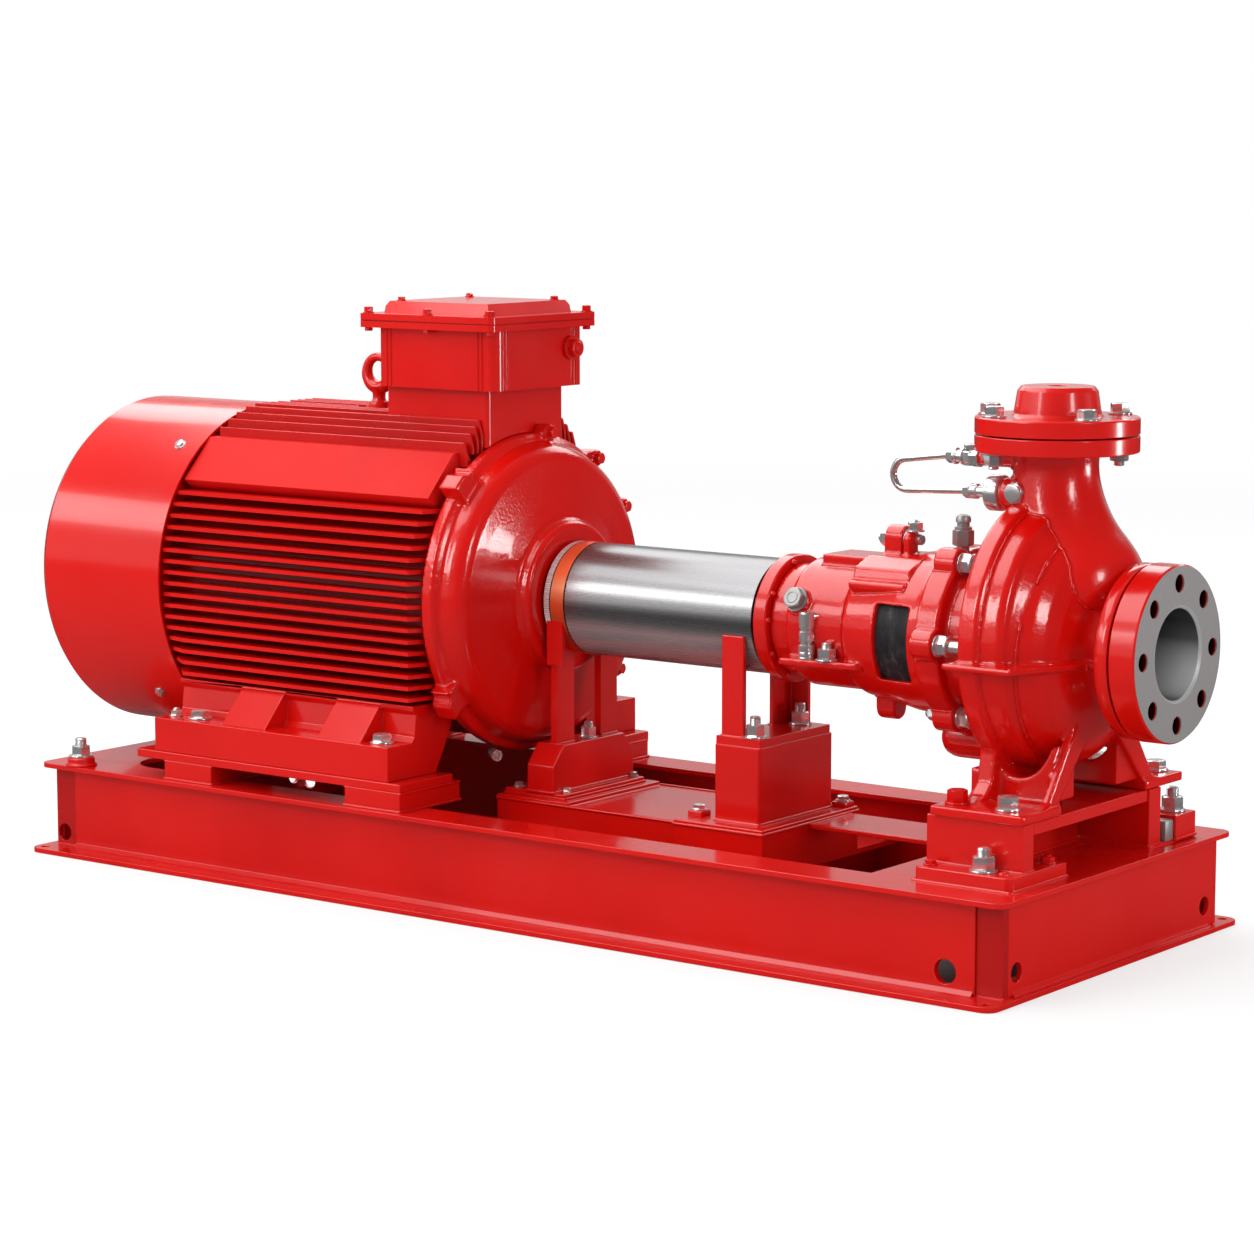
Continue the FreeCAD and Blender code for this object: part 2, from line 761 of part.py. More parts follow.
def pump_feet():
    low = pump_foot_low
    high = low + pump_foot_thick
    middle = shaft_height - 60.0
    plate = box(742, 893, -228, -120, low, high)
    post = prism_x([(-186, high), (-158, high + 8), (-142, high + 24), (-134, middle - 70),
                    (-120, middle), (-40, middle), (-40, high + 40), (-100, high)], 766, 792)
    strut = prism_x([(-168, high), (-150, high + 4), (-52, middle - 8), (-36, middle - 8),
                     (-36, middle - 60), (-120, high)], 874, 887)
    bowl = high + foot_web_rise
    web = prism_y([(786, high), (786, bowl + 34), (796, bowl + 10), (810, bowl + 1),
                   (824, bowl), (840, bowl + 4), (854, bowl + 14), (866, bowl + 30),
                   (876, bowl + 50), (876, high)], -122, -60)
    back_rib = box(744, 770, -122, -66, high, high + foot_rib_rise)
    foot = fused([plate, post, strut, web, back_rib])
    solid = fused(volute())
    foot = max(foot.cut(solid).Solids, key=lambda s: s.Volume)
    return both_sides(foot)


def front_pedestal():
    step = base_height + 20.0
    plate = rounded_uprights(box(737, 895, -261, -109, base_height, step), 12,
                             lambda x, y: y < -260)
    block = box(733, 890, -220, -191, step, pump_foot_low)
    return fused([plate, block])


def rear_pedestal():
    plate = box(737, 895, 125, 261, base_height, 150)
    post = box(737, 893, 129, 163, 150, pump_foot_low)
    block = box(846, 900, 197, 257, 150, 185)
    rest = box(737, 760, 163, 222, 150, pump_foot_low)
    return fused([plate, post, block, rest])


def foot_channel():
    top = box(745, 890, -191, 129, pump_foot_low - 18, pump_foot_low)
    web = box(766, 778, -105, 125, base_height, pump_foot_low - 18)
    return fused([top, web])


def build():
    beam = long_beam()
    return {
        "front_beam": beam,
        "rear_beam": mirrored(beam),
        "pump_end_beam": end_beam(deck_edge),
        "motor_end_beam": motor_end_beam(),
        "corner_webs": corner_webs(),
        "cross_members": cross_members(),
        "center_deck": center_deck(),
        "right_plinth": right_plinth(),
        "tie_plate": tie_plate(),
        "stud_bosses": stud_bosses(),
        "motor_spacers": motor_spacers(),
        "sole_plates": sole_plates(),
        "motor_feet": motor_feet(),
        "motor_frame": motor_frame(),
        "fan_cover": fan_cover(),
        "drive_end_shield": drive_end_shield(),
        "terminal_box_neck": neck_block(),
        "terminal_box": terminal_box(),
        "terminal_box_lid": terminal_box_lid(),
        "cable_plug": cable_plug(),
        "lifting_eye": lifting_eye(),
        "coupling_guard": coupling_guard(),
        "guard_band": guard_band(),
        "coupling": coupling(),
        "left_saddle": left_saddle(),
        "left_posts": left_posts(),
        "right_pedestal": right_pedestal(),
        "right_posts": right_posts(),
        "bearing_cover": bearing_cover(),
        "bearing_housing": bearing_housing(),
        "window_mesh": window_mesh(),
        "housing_plugs": housing_plugs(),
        "oiler": oiler(),
        "casing_cover": casing_cover(),
        "drain_boss": drain_boss(),
        "pump_casing": pump_casing(),
        "suction_flange": suction_flange(),
        "discharge_flange": discharge_flange(),
        "companion_flange": companion_flange(),
        "flush_pipe": flush_pipe(),
        "flush_fittings": flush_fittings(),
        "pump_feet": pump_feet(),
        "front_pedestal": front_pedestal(),
        "rear_pedestal": rear_pedestal(),
        "foot_channel": foot_channel(),
    }


os.makedirs("parts", exist_ok=True)
for name, shape in build().items():
    box_now = shape.BoundBox
    print(name, len(shape.Solids), shape.isValid(), round(shape.Volume / 1e6, 2),
          [round(v) for v in (box_now.XMin, box_now.XMax, box_now.YMin, box_now.YMax,
                              box_now.ZMin, box_now.ZMax)])
    shape.exportStep("parts/" + name + ".step")
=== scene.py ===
import math
import bmesh
import bpy
from mathutils import Matrix, Vector, noise


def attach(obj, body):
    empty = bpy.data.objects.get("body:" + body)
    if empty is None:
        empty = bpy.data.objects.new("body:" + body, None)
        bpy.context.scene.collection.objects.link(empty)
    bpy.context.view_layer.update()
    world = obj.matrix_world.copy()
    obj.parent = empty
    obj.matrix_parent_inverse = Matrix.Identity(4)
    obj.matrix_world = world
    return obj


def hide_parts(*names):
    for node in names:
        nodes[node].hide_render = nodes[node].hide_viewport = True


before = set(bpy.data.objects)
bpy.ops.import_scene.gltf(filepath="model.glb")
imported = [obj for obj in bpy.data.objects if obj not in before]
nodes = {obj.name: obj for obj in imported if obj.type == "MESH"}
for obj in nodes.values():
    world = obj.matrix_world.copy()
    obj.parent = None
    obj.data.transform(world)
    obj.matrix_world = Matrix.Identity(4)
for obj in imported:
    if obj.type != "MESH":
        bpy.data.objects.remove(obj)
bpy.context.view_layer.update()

scene = bpy.context.scene
mm = 0.001
shaftHigh = 455  # the shaft's height in mm
shaftZ = shaftHigh * mm
toPump, toMotor = (1, 0, 0), (-1, 0, 0)
upward, downward = (0, 0, 1), (0, 0, -1)
print("frame loaded:", len(nodes), "nodes")


# One wrapped socket, so that shader sums read as sums
class Wire:
    def __init__(self, paint, socket):
        self.paint = paint
        self.socket = socket

    def maths(self, operation, other=None, flip=False, clamp=False):
        pair = [self] if other is None else ([other, self] if flip else [self, other])
        return self.paint.add("ShaderNodeMath", {"operation": operation, "use_clamp": clamp},
                              dict(enumerate(pair)))

    def __add__(self, other):
        return self.maths("ADD", other)

    __radd__ = __add__

    def __sub__(self, other):
        return self.maths("SUBTRACT", other)

    def __rsub__(self, other):
        return self.maths("SUBTRACT", other, flip=True)

    def __mul__(self, other):
        return self.maths("MULTIPLY", other)

    __rmul__ = __mul__

    def __gt__(self, other):
        return self.maths("GREATER_THAN", other)

    def __lt__(self, other):
        return self.maths("LESS_THAN", other)

    def __abs__(self):
        return self.maths("ABSOLUTE")

    def between(self, low, high):
        return (self > low) * (self < high)

    def root(self):
        return self.maths("SQRT")

    def clamped(self):
        return self.maths("ADD", 0.0, clamp=True)


# One material, or the world, and the nodes in it
class Paint:
    def __init__(self, owner):
        self.owner = bpy.data.materials.new(owner) if isinstance(owner, str) else owner
        self.owner.use_nodes = True
        self.tree = self.owner.node_tree
        self.tree.nodes.clear()

    def add(self, kind, settings=None, inputs=None, out=0):
        node = self.tree.nodes.new(kind)
        for key, value in (settings or {}).items():
            if key == "stops":
                while len(node.color_ramp.elements) < len(value):
                    node.color_ramp.elements.new(0.5)
                for element, (place, tone) in zip(node.color_ramp.elements, value):
                    element.position = place
                    tone = tone[:3] if isinstance(tone, tuple) else (tone,) * 3
                    element.color = (*tone, 1)
            else:
                setattr(node, key, value)
        for key, value in (inputs or {}).items():
            if isinstance(value, Wire):
                self.tree.links.new(value.socket, node.inputs[key])
            else:
                node.inputs[key].default_value = value
        return None if out is None else Wire(self, node.outputs[out])

    def place(self):
        return self.add("ShaderNodeTexCoord", out="Object")

    def noise(self, where, scale, detail=2.0, rough=0.5):
        return self.add("ShaderNodeTexNoise", None,
                        {"Vector": where, "Scale": scale, "Detail": detail, "Roughness": rough})

    def stretch(self, where, factors):
        return self.add("ShaderNodeVectorMath", {"operation": "MULTIPLY"}, {0: where, 1: factors})

    def blendColour(self, mask, low, high):
        return self.add("ShaderNodeMix", {"data_type": "RGBA"}, {0: mask, 6: low, 7: high}, out=2)

    def ramp(self, value, stops):
        return self.add("ShaderNodeValToRGB", {"stops": stops}, {0: value})

    def bump(self, height, strength, distance, normal=None):
        links = {"Height": height, "Strength": strength, "Distance": distance}
        if normal is not None:
            links["Normal"] = normal
        return self.add("ShaderNodeBump", None, links)

    def surface(self, **sockets):
        named = {key.replace("_", " "): value for key, value in sockets.items()}
        return self.add("ShaderNodeBsdfPrincipled", None, named)

    def diffuse(self, colour):
        return self.add("ShaderNodeBsdfDiffuse", None, {"Color": colour})

    def choose(self, mask, first, second):
        return self.add("ShaderNodeMixShader", None, {0: mask, 1: first, 2: second})

    def finish(self, shader, output="ShaderNodeOutputMaterial"):
        self.add(output, None, {"Surface": shader}, out=None)
        return self.owner


def apart(paint, where):
    split = paint.add("ShaderNodeSeparateXYZ", None, {0: where})
    return [Wire(paint, socket) for socket in split.socket.node.outputs]


def shaftRadius(paint, where):
    x, y, z = apart(paint, where)
    drop = z - shaftZ
    return x, (y * y + drop * drop).root()


# Enamel: one red, on smooth plate or over cast skin
enamel = {
    "red": (0.62, 0.0042, 0.0022, 1),
    "shade": (0.55, 0.0028, 0.0016, 1),
    "pale": (0.66, 0.0062, 0.0034, 1),
    "gap": (0.26, 0.0012, 0.0009, 1),  # red that lies in shade
    # painted shade for the flange's bolt holes and joint groove
    "recessShade": (0.02, 0, 0, 1),  # bolt holes and joints
    "driftScale": 3.2, "peelScale": 190.0, "hazeScale": 9.0,
    "peelDepth": 0.0006, "skinDepth": 0.0015, "haze": 0.12, "mattHaze": 0.3,
    "coatRough": 0.06, "coatIor": 1.5,
}


def enamelPaint(name, skin=0.0, skinScale=1.0, peel=0.03, gloss=0.16, coat=0.35, shine=0.5,
                shaded=None, dull=None):
    paint = Paint(name)
    where = paint.place()
    drift = paint.noise(where, enamel["driftScale"], 3.0)
    tone = paint.ramp(drift, [(0.3, enamel["shade"]), (0.5, enamel["red"]),
                              (0.75, enamel["pale"])])
    if shaded:
        tone = paint.blendColour(shaded(paint, where), enamel["gap"], tone)
    normal = paint.bump(paint.noise(where, enamel["peelScale"]), peel, enamel["peelDepth"])
    if skin:
        lumps = paint.noise(where, skinScale, 3.0, 0.55)
        normal = paint.bump(lumps, skin, enamel["skinDepth"], normal)
    rough = gloss + paint.noise(where, enamel["hazeScale"], 3.0) * enamel["haze"]
    if dull:
        matt = dull(paint, where)
        rough = rough + matt * enamel["mattHaze"]
        coat = coat - matt * coat
    return paint.finish(paint.surface(
        Base_Color=tone, Roughness=rough, Normal=normal, Specular_IOR_Level=shine,
        Coat_Weight=coat, Coat_Roughness=enamel["coatRough"], Coat_IOR=enamel["coatIor"]))


# Masks for the enamel, 0 where red lies in shade: down by the motor's drum, on the flanks of
# the upper fins and on the end strips of the front beam's web
shade = {
    "roots": [(0.468, 0.0), (0.486, 0.4), (0.51, 1.0)],  # over twice the radius from the shaft
    "flanks": [(0.1, 0.62), (0.6, 1.0)],  # over how far a face looks up
    "webY": -0.29, "webZ": (0.0105, 0.1365), "endX": 0.8655, "endDepth": 0.55,
    "panelZ": 0.607,
}


def finRoots(paint, where):
    return paint.ramp(shaftRadius(paint, where)[1] * 2.0, shade["roots"])


def finFlanks(paint, where):
    normal = paint.add("ShaderNodeTexCoord", out="Normal")
    return paint.ramp(apart(paint, normal)[2], shade["flanks"])


def beamEnds(paint, where):
    x, y, z = apart(paint, where)
    web = (y < shade["webY"]) * z.between(*shade["webZ"])
    return 1.0 - (abs(x) > shade["endX"]) * web * shade["endDepth"]


def finPanels(paint, where):  # 1 on the matt panels above the side fins
    return apart(paint, where)[2] > shade["panelZ"]


plateRed = enamelPaint("enamelOnPlate")
castRed = enamelPaint("enamelOnCasting", 0.30, 200.0, 0.04, 0.11, coat=0.5)
finRed = enamelPaint("enamelOnFins", gloss=0.24, coat=0.1, shine=0.25, shaded=finRoots,
                     dull=finPanels)
flankRed = enamelPaint("enamelOnUpperFins", gloss=0.2, coat=0.2, shaded=finFlanks)
beamRed = enamelPaint("enamelOnFrontBeam", shaded=beamEnds)
smallRed = enamelPaint("enamelOnSmallParts")


# Plain steels for bolts, trim, tube and shaft
steel = {"fineScale": 420.0, "broadScale": 14.0, "darker": 0.93, "lighter": 1.04,
         "grainDepth": 0.0003}


def steelPaint(name, colour, roughness, spread, grain=0.04, metallic=1.0):
    paint = Paint(name)
    where = paint.place()
    fine = paint.noise(where, steel["fineScale"], 4.0, 0.6)
    broad = paint.noise(where, steel["broadScale"])
    tone = paint.ramp(fine * 0.6 + broad * 0.4, [
        (0.3, tuple(c * steel["darker"] for c in colour)),
        (0.7, tuple(min(c * steel["lighter"], 1) for c in colour))])
    rough = roughness - spread / 2 + fine * spread
    normal = paint.bump(fine, grain, steel["grainDepth"])
    return paint.finish(paint.surface(Base_Color=tone, Roughness=rough, Metallic=metallic,
                                      Normal=normal))


brightSteel = steelPaint("brightZincSteel", (0.80, 0.79, 0.79), 0.22, 0.08, 0.012, 0.86)
dullSteel = steelPaint("satinZincSteel", (0.40, 0.40, 0.39), 0.46, 0.10, 0.02, 0.8)
polishedSteel = steelPaint("polishedTubeSteel", (0.74, 0.69, 0.65), 0.18, 0.08, metallic=0.85)
darkSteel = steelPaint("darkTurnedSteel", (0.20, 0.20, 0.21), 0.36, 0.1)


# Guard tube: brushed along its length, with painted reflections as grey bands by height, a bright
# end and a dark joint each side of the band
guard = {
    "bands": [(0.0, 0.10), (0.10, 0.26), (0.30, 0.32), (0.41, 0.17), (0.48, 0.20), (0.55, 0.43),
              (0.70, 0.39), (0.80, 0.23), (0.90, 0.23), (1.0, 0.14)],
    "metal": [(0.0, 0.3), (0.32, 0.5), (0.46, 0.9)],  # less below, so that it stays neutral
    "joints": [(-0.0428, -0.0402), (-0.0152, -0.0126)], "jointTone": (0.03, 0.03, 0.03, 1),
    "endX": -0.0428, "endTone": (0.72, 0.71, 0.71, 1), "endMetal": 0.25,
    "levels": 5.6,
}


def guardLevel(z):  # 0 at the foot of the tube, 1 at its top
    return (z - shaftZ) * guard["levels"] + 0.5


def guardSteel():
    paint = Paint("brushedGuardSteel")
    where = paint.place()
    x, y, z = apart(paint, where)
    level = guardLevel(z)
    fine = paint.noise(paint.stretch(where, (0.9, 150.0, 150.0)), 6.0, 4.0, 0.6)
    broad = paint.noise(paint.stretch(where, (1.0, 16.0, 16.0)), 5.0, 3.0)
    # painted reflections: grey bands that change with the height on the tube
    plain = paint.ramp(level, [(place, (c, c * 0.98, c)) for place, c in guard["bands"]])
    bright = paint.ramp(level, [(place, (c * 1.16, c * 1.14, c * 1.16))
                                for place, c in guard["bands"]])
    tone = paint.blendColour(fine * 0.6 + broad * 0.4, plain, bright)
    left, right = [x.between(*joint) for joint in guard["joints"]]
    tone = paint.blendColour(left + right, tone, guard["jointTone"])
    onEnd = x < guard["endX"]
    tone = paint.blendColour(onEnd, tone, guard["endTone"])
    metal = paint.ramp(level, guard["metal"]) - onEnd * guard["endMetal"]
    normal = paint.bump(fine * (x > guard["endX"]), 0.018, 0.0001)
    return paint.finish(paint.surface(Base_Color=tone, Roughness=0.22 + fine * 0.10,
                                      Metallic=metal, Normal=normal))


# Suction flange: machined face and bore, enamel on the rim, and painted shade in the bolt holes and
# the joint groove
flange = {
    "faceX": 1.0022, "rimR": 0.1238, "boreR": 0.0685,
    "holesR": (0.0700, 0.1172), "holesX": (0.9575, 1.0006), "joint": (0.9602, 0.9632),
    "grey": [(0.3, (0.225, 0.212, 0.208)), (0.7, (0.315, 0.30, 0.295))],
    "boreTone": (0.48, 0.48, 0.49, 1),
}


def flangeSteel():
    paint = Paint("suctionFlangeFinish")
    where = paint.place()
    x, r = shaftRadius(paint, where)
    bore = r < flange["boreR"]
    bare = ((x > flange["faceX"]) * (r < flange["rimR"]) + bore).clamped()
    rings = paint.add("ShaderNodeCombineXYZ", None, {0: r * 900.0})
    turned = paint.noise(rings, 2.0, 3.0, 0.7)
    speck = paint.noise(where, 260.0, 4.0, 0.6)
    grey = paint.ramp(turned * 0.6 + speck * 0.4, flange["grey"])
    metal = paint.surface(Base_Color=paint.blendColour(bore, grey, flange["boreTone"]),
                          Roughness=0.36 + speck * 0.14, Metallic=0.3,
                          Normal=paint.bump(turned, 0.08, 0.0002))
    # painted shade: near black in the bolt holes and on the face of the joint groove
    holes = r.between(*flange["holesR"]) * x.between(*flange["holesX"])
    recessShade = (holes + x.between(*flange["joint"])).clamped()
    coat = paint.surface(Base_Color=paint.blendColour(recessShade, enamel["red"], enamel["recessShade"]),
                         Roughness=0.2, Coat_Weight=0.35, Coat_Roughness=enamel["coatRough"],
                         Normal=paint.bump(paint.noise(where, 210.0), 0.05, 0.0006))
    return paint.finish(paint.choose(bare, coat, metal))


# Turned bore: painted shade above and to the left, a painted highlight below and to the right, and
# painted shade far inside towards its closed end
boreLook = {
    "glow": [(0.20, (0.012, 0.012, 0.012)), (0.55, (0.05, 0.05, 0.051)),
             (0.74, (0.15, 0.15, 0.152)), (0.83, (0.55, 0.55, 0.56)), (0.92, (0.90, 0.90, 0.91))],
    "deep": [(0.15, 0.05), (0.55, 0.55), (0.9, 1.0)], "deepX": 0.85, "deepScale": 7.0,
    "dark": (0.012, 0.012, 0.012, 1),
}


def boreSteel():
    paint = Paint("turnedBoreSteel")
    where = paint.place()
    x, y, z = apart(paint, where)
    rings = paint.noise(paint.stretch(where, (160.0, 2.0, 2.0)), 8.0, 3.0)
    # painted highlight and painted shade, by the side of the bore that a point lies on
    side = y * 6.0 + 0.42 - (z - shaftZ) * 4.2
    glow = paint.ramp(side, boreLook["glow"])
    deep = paint.ramp((x - boreLook["deepX"]) * boreLook["deepScale"], boreLook["deep"])
    tone = paint.blendColour(deep, boreLook["dark"], glow)
    return paint.finish(paint.surface(Base_Color=tone, Roughness=0.34 + rings * 0.12,
                                      Metallic=0.2, Normal=paint.bump(rings, 0.10, 0.0002)))


def screenGrey():
    paint = Paint("darkScreen")
    where = paint.place()
    wisps = paint.noise(paint.stretch(where, (3.0, 3.0, 0.9)), 22.0, 5.0, 0.7)
    tone = paint.ramp(wisps, [(0.38, (0.012, 0.011, 0.013)), (0.56, (0.032, 0.030, 0.034)),
                              (0.8, (0.13, 0.12, 0.13))])
    weave = paint.add("ShaderNodeTexChecker", None, {"Vector": where, "Scale": 900.0}, out="Fac")
    normal = paint.bump(weave * 0.5 + wisps * 0.5, 0.25, 0.0004)
    return paint.finish(paint.surface(Base_Color=tone, Roughness=0.5 + wisps * 0.25,
                                      Metallic=0.35, Normal=normal))


# Orange band round the guard, with painted shade low down and a painted highlight above its middle,
# and random wear over it
band = {
    "tone": [(0.25, (0.50, 0.02, 0.006)), (0.5, (0.78, 0.08, 0.02)), (0.64, (0.93, 0.36, 0.18)),
             (0.76, (0.80, 0.12, 0.03)), (1.0, (0.78, 0.10, 0.03))],
    "worn": (0.85, 0.16, 0.05, 1),
}


def orangeBand():
    paint = Paint("orangeBandPaint")
    where = paint.place()
    wear = paint.noise(paint.stretch(where, (30.0, 3.0, 3.0)), 20.0, 4.0)
    # painted shade low on the band and a painted highlight above its middle, by height
    tone = paint.ramp(guardLevel(apart(paint, where)[2]), band["tone"])
    tone = paint.blendColour(wear * 0.5, tone, band["worn"])
    return paint.finish(paint.surface(Base_Color=tone, Roughness=0.25 + wear * 0.15,
                                      Metallic=0.5, Normal=paint.bump(wear, 0.06, 0.0002),
                                      Coat_Weight=0.8))


flangeMetal = flangeSteel()
boreMetal = boreSteel()

# CAD nodes that keep their own shape and take a finish
finishes = {
    "cross_members": plateRed,
    "corner_webs": beamRed,
    "coupling_guard": guardSteel(),
    "guard_band": orangeBand(),
    "suction_flange": flangeMetal,
    "flush_pipe": polishedSteel,
    "coupling": darkSteel,
    "window_mesh": screenGrey(),
}
for name, finish in finishes.items():
    skins = nodes[name].data.materials
    skins.clear()
    skins.append(finish)
print("materials made:", len(bpy.data.materials))


# Mesh helpers: small parts are drawn in mm along +Z and then turned to their place
def at(x, y, z):
    return Vector((x * mm, y * mm, z * mm))


def aboutShaft(x, radius, degrees):
    turn = math.radians(degrees)
    return at(x, radius * math.cos(turn), shaftHigh + radius * math.sin(turn))


def outward(degrees):
    turn = math.radians(degrees)
    return (0, math.cos(turn), math.sin(turn))


def formOf(*names):
    form = bmesh.new()
    for name in names:
        form.from_mesh(nodes[name].data)
    return form


def meshFrom(form, name):
    mesh = bpy.data.meshes.new(name)
    form.to_mesh(mesh)
    form.free()
    for face in mesh.polygons:
        face.use_smooth = True
    return mesh


def newPiece(name, mesh, material, slotName):
    piece = bpy.data.objects.new(name, mesh)
    scene.collection.objects.link(piece)
    mesh.materials.clear()
    mesh.materials.append(material)
    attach(piece, "root")
    return piece


def makeSet(name, material, slotName, draw, sharpAngle=32.0):
    form = bmesh.new()
    draw(form)
    bmesh.ops.recalc_face_normals(form, faces=form.faces)
    mesh = meshFrom(form, name)
    mesh.set_sharp_from_angle(angle=math.radians(sharpAngle))
    return newPiece(name, mesh, material, slotName)


# Fabricated pieces: the CAD form with its sharp edges eased. Angles are in degrees: flat joins
# faces, sharp takes edges, near and wide say which neighbours share a face's normal
easing = {"merge": 1e-5, "flat": 1.0, "sharp": 28.0, "steps": 2, "near": 31, "wide": 66}


def camelName(node):
    words = node.split("_")
    return words[0] + "".join(word.capitalize() for word in words[1:])


# Flat faces keep their own normal; easing strips and curved skins blend between
def settleNormals(mesh, strips):
    around = [[] for _ in mesh.vertices]
    for face in mesh.polygons:
        for corner in face.vertices:
            around[corner].append(face.index)
    faceNormals = [face.normal.copy() for face in mesh.polygons]
    areas = [max(face.area, 1e-9) for face in mesh.polygons]
    settled = []
    near, wide = [math.cos(math.radians(easing[key])) for key in ("near", "wide")]
    for face in mesh.polygons:
        own = faceNormals[face.index]
        strip = face.index in strips
        for corner in face.vertices:
            sides = [i for i in around[corner] if i not in strips
                     and own.dot(faceNormals[i]) > (wide if strip else near)]
            if strip and sides:
                best = max(sides, key=lambda i: own.dot(faceNormals[i]))
                sides = [i for i in sides if faceNormals[best].dot(faceNormals[i]) > near]
            if strip and not sides:
                sides = [i for i in around[corner] if own.dot(faceNormals[i]) > wide]
            total = Vector((0, 0, 0))
            for i in sides or [face.index]:
                total += faceNormals[i] * areas[i]
            settled.append(total.normalized() if total.length > 1e-12 else own)
    mesh.normals_split_custom_set(settled)


def easedNode(name, width, material, slotName):
    form = formOf(name)
    bmesh.ops.remove_doubles(form, verts=form.verts, dist=easing["merge"])
    bmesh.ops.dissolve_limit(form, angle_limit=math.radians(easing["flat"]), verts=form.verts,
                             edges=form.edges, delimit=set())
    sharp = [edge for edge in form.edges
             if edge.is_manifold and edge.calc_face_angle(0) > math.radians(easing["sharp"])]
    eased = bmesh.ops.bevel(form, geom=sharp, offset=width * mm, offset_type="OFFSET",
                            segments=easing["steps"], profile=0.5, affect="EDGES",
                            clamp_overlap=True)
    bmesh.ops.recalc_face_normals(form, faces=form.faces)
    form.faces.index_update()
    strips = {face.index for face in eased["faces"]}
    mesh = meshFrom(form, camelName(name))
    settleNormals(mesh, strips)
    piece = newPiece(camelName(name), mesh, material, slotName)
    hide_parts(name)


# For each slot: the width of the eased edges in mm, the finish and the nodes
fabricated = {
    "painted_steel": [
        (2.2, beamRed, ["front_beam", "rear_beam", "pump_end_beam", "motor_end_beam"]),
        (2.2, plateRed, ["center_deck", "right_plinth", "tie_plate", "motor_spacers",
                         "sole_plates", "left_saddle", "left_posts", "right_pedestal",
                         "right_posts", "front_pedestal", "rear_pedestal", "foot_channel"]),
        (1.2, plateRed, ["fan_cover"]),
    ],
    "painted_casting": [
        (2.0, plateRed, ["terminal_box_neck", "terminal_box", "discharge_flange",
                         "companion_flange"]),
        (2.2, plateRed, ["terminal_box_lid"]),
        (1.3, finRed, ["motor_frame"]),
        (1.2, smallRed, ["stud_bosses"]),
        (1.0, smallRed, ["cable_plug"]),
        (1.5, smallRed, ["bearing_cover"]),
        (2.5, plateRed, ["motor_feet"]),
    ],
}
for slotName, rows in fabricated.items():
    for width, finish, names in rows:
        for name in names:
            easedNode(name, width, finish, slotName)
print("fabricated pieces eased")


# Castings: solids joined, wrapped in an even skin and relaxed, so that inner corners fill.
# Each has its nodes, the size of its skin's cells in mm and the rounds of relaxing
castings = {
    "pumpCasing": (["pump_casing", "pump_feet"], 3.0, 3),
    "bearingHousing": (["bearing_housing"], 2.2, 4),
    "casingCover": (["casing_cover", "drain_boss"], 2.4, 4),
    "driveEndShield": (["drive_end_shield"], 3.0, 4),
}


def castBody(name, names, cell, rounds):
    form = formOf(*names)
    bmesh.ops.remove_doubles(form, verts=form.verts, dist=1e-6)
    piece = newPiece(name, meshFrom(form, name), castRed, "painted_casting")
    wrap = piece.modifiers.new("wrap", "REMESH")
    wrap.mode = "VOXEL"
    wrap.voxel_size = cell * mm
    wrap.use_smooth_shade = True
    relax = piece.modifiers.new("relax", "SMOOTH")
    relax.factor = 0.5
    relax.iterations = rounds
    bpy.context.view_layer.update()
    graph = bpy.context.evaluated_depsgraph_get()
    skin = bpy.data.meshes.new_from_object(piece.evaluated_get(graph), depsgraph=graph)
    piece.modifiers.clear()
    piece.data = skin
    skin.name = name
    skin.materials.clear()
    skin.materials.append(castRed)
    for face in skin.polygons:
        face.use_smooth = True
    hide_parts(*names)
    print("cast", name, len(skin.polygons))


for name, (names, cell, rounds) in castings.items():
    castBody(name, names, cell, rounds)
print("castings wrapped")


# Turned and hexagonal parts
def turnTo(axis, spot, spin=0.0):
    turn = Vector((0, 0, 1)).rotation_difference(Vector(axis).normalized())
    return Matrix.Translation(spot) @ turn.to_matrix().to_4x4() @ Matrix.Rotation(spin, 4, "Z")


def ringLoop(form, place, radius, height, count):
    ring = []
    for i in range(count):
        turn = 2 * math.pi * i / count
        r = radius(turn) if callable(radius) else radius
        h = height(turn) if callable(height) else height
        ring.append(form.verts.new(place @ Vector((r * math.cos(turn), r * math.sin(turn), h))))
    return ring


def crossRing(form, spot, side, up, r, count):
    return [form.verts.new(spot + side * r * math.cos(turn) + up * r * math.sin(turn))
            for turn in [2 * math.pi * k / count for k in range(count)]]


# Faces over a row of loops: closed at both ends, or run round to the first loop again
def skinOver(form, loops, ring=False):
    for low, high in zip(loops, loops[1:] + loops[:1] if ring else loops[1:]):
        for i in range(len(low)):
            j = (i + 1) % len(low)
            form.faces.new((low[i], low[j], high[j], high[i]))
    if not ring:
        form.faces.new(list(reversed(loops[0])))
        form.faces.new(loops[-1])


def lathe(form, place, profile, count=28, ring=False):
    skinOver(form, [ringLoop(form, place, r * mm, h * mm, count) for r, h in profile], ring)


def turnedPart(form, spot, axis, profile, count=28, ring=False):
    lathe(form, turnTo(axis, spot), profile, count, ring)


# Shares of a nut's width or a bolt's size; the chamfer is in degrees, the pitch in mm
hexShape = {"foot": 0.985, "footHigh": 0.02, "flat": 0.96, "crown": 0.82, "crownHigh": 0.008,
            "chamfer": 30, "around": 36}
fastener = {"across": 1.5, "washerThick": 0.17, "washerWide": 1.05, "washerEdge": 0.97,
            "washerSoft": 0.3, "washerHole": 0.35, "threadRoot": 0.9, "pitch": 2.0}


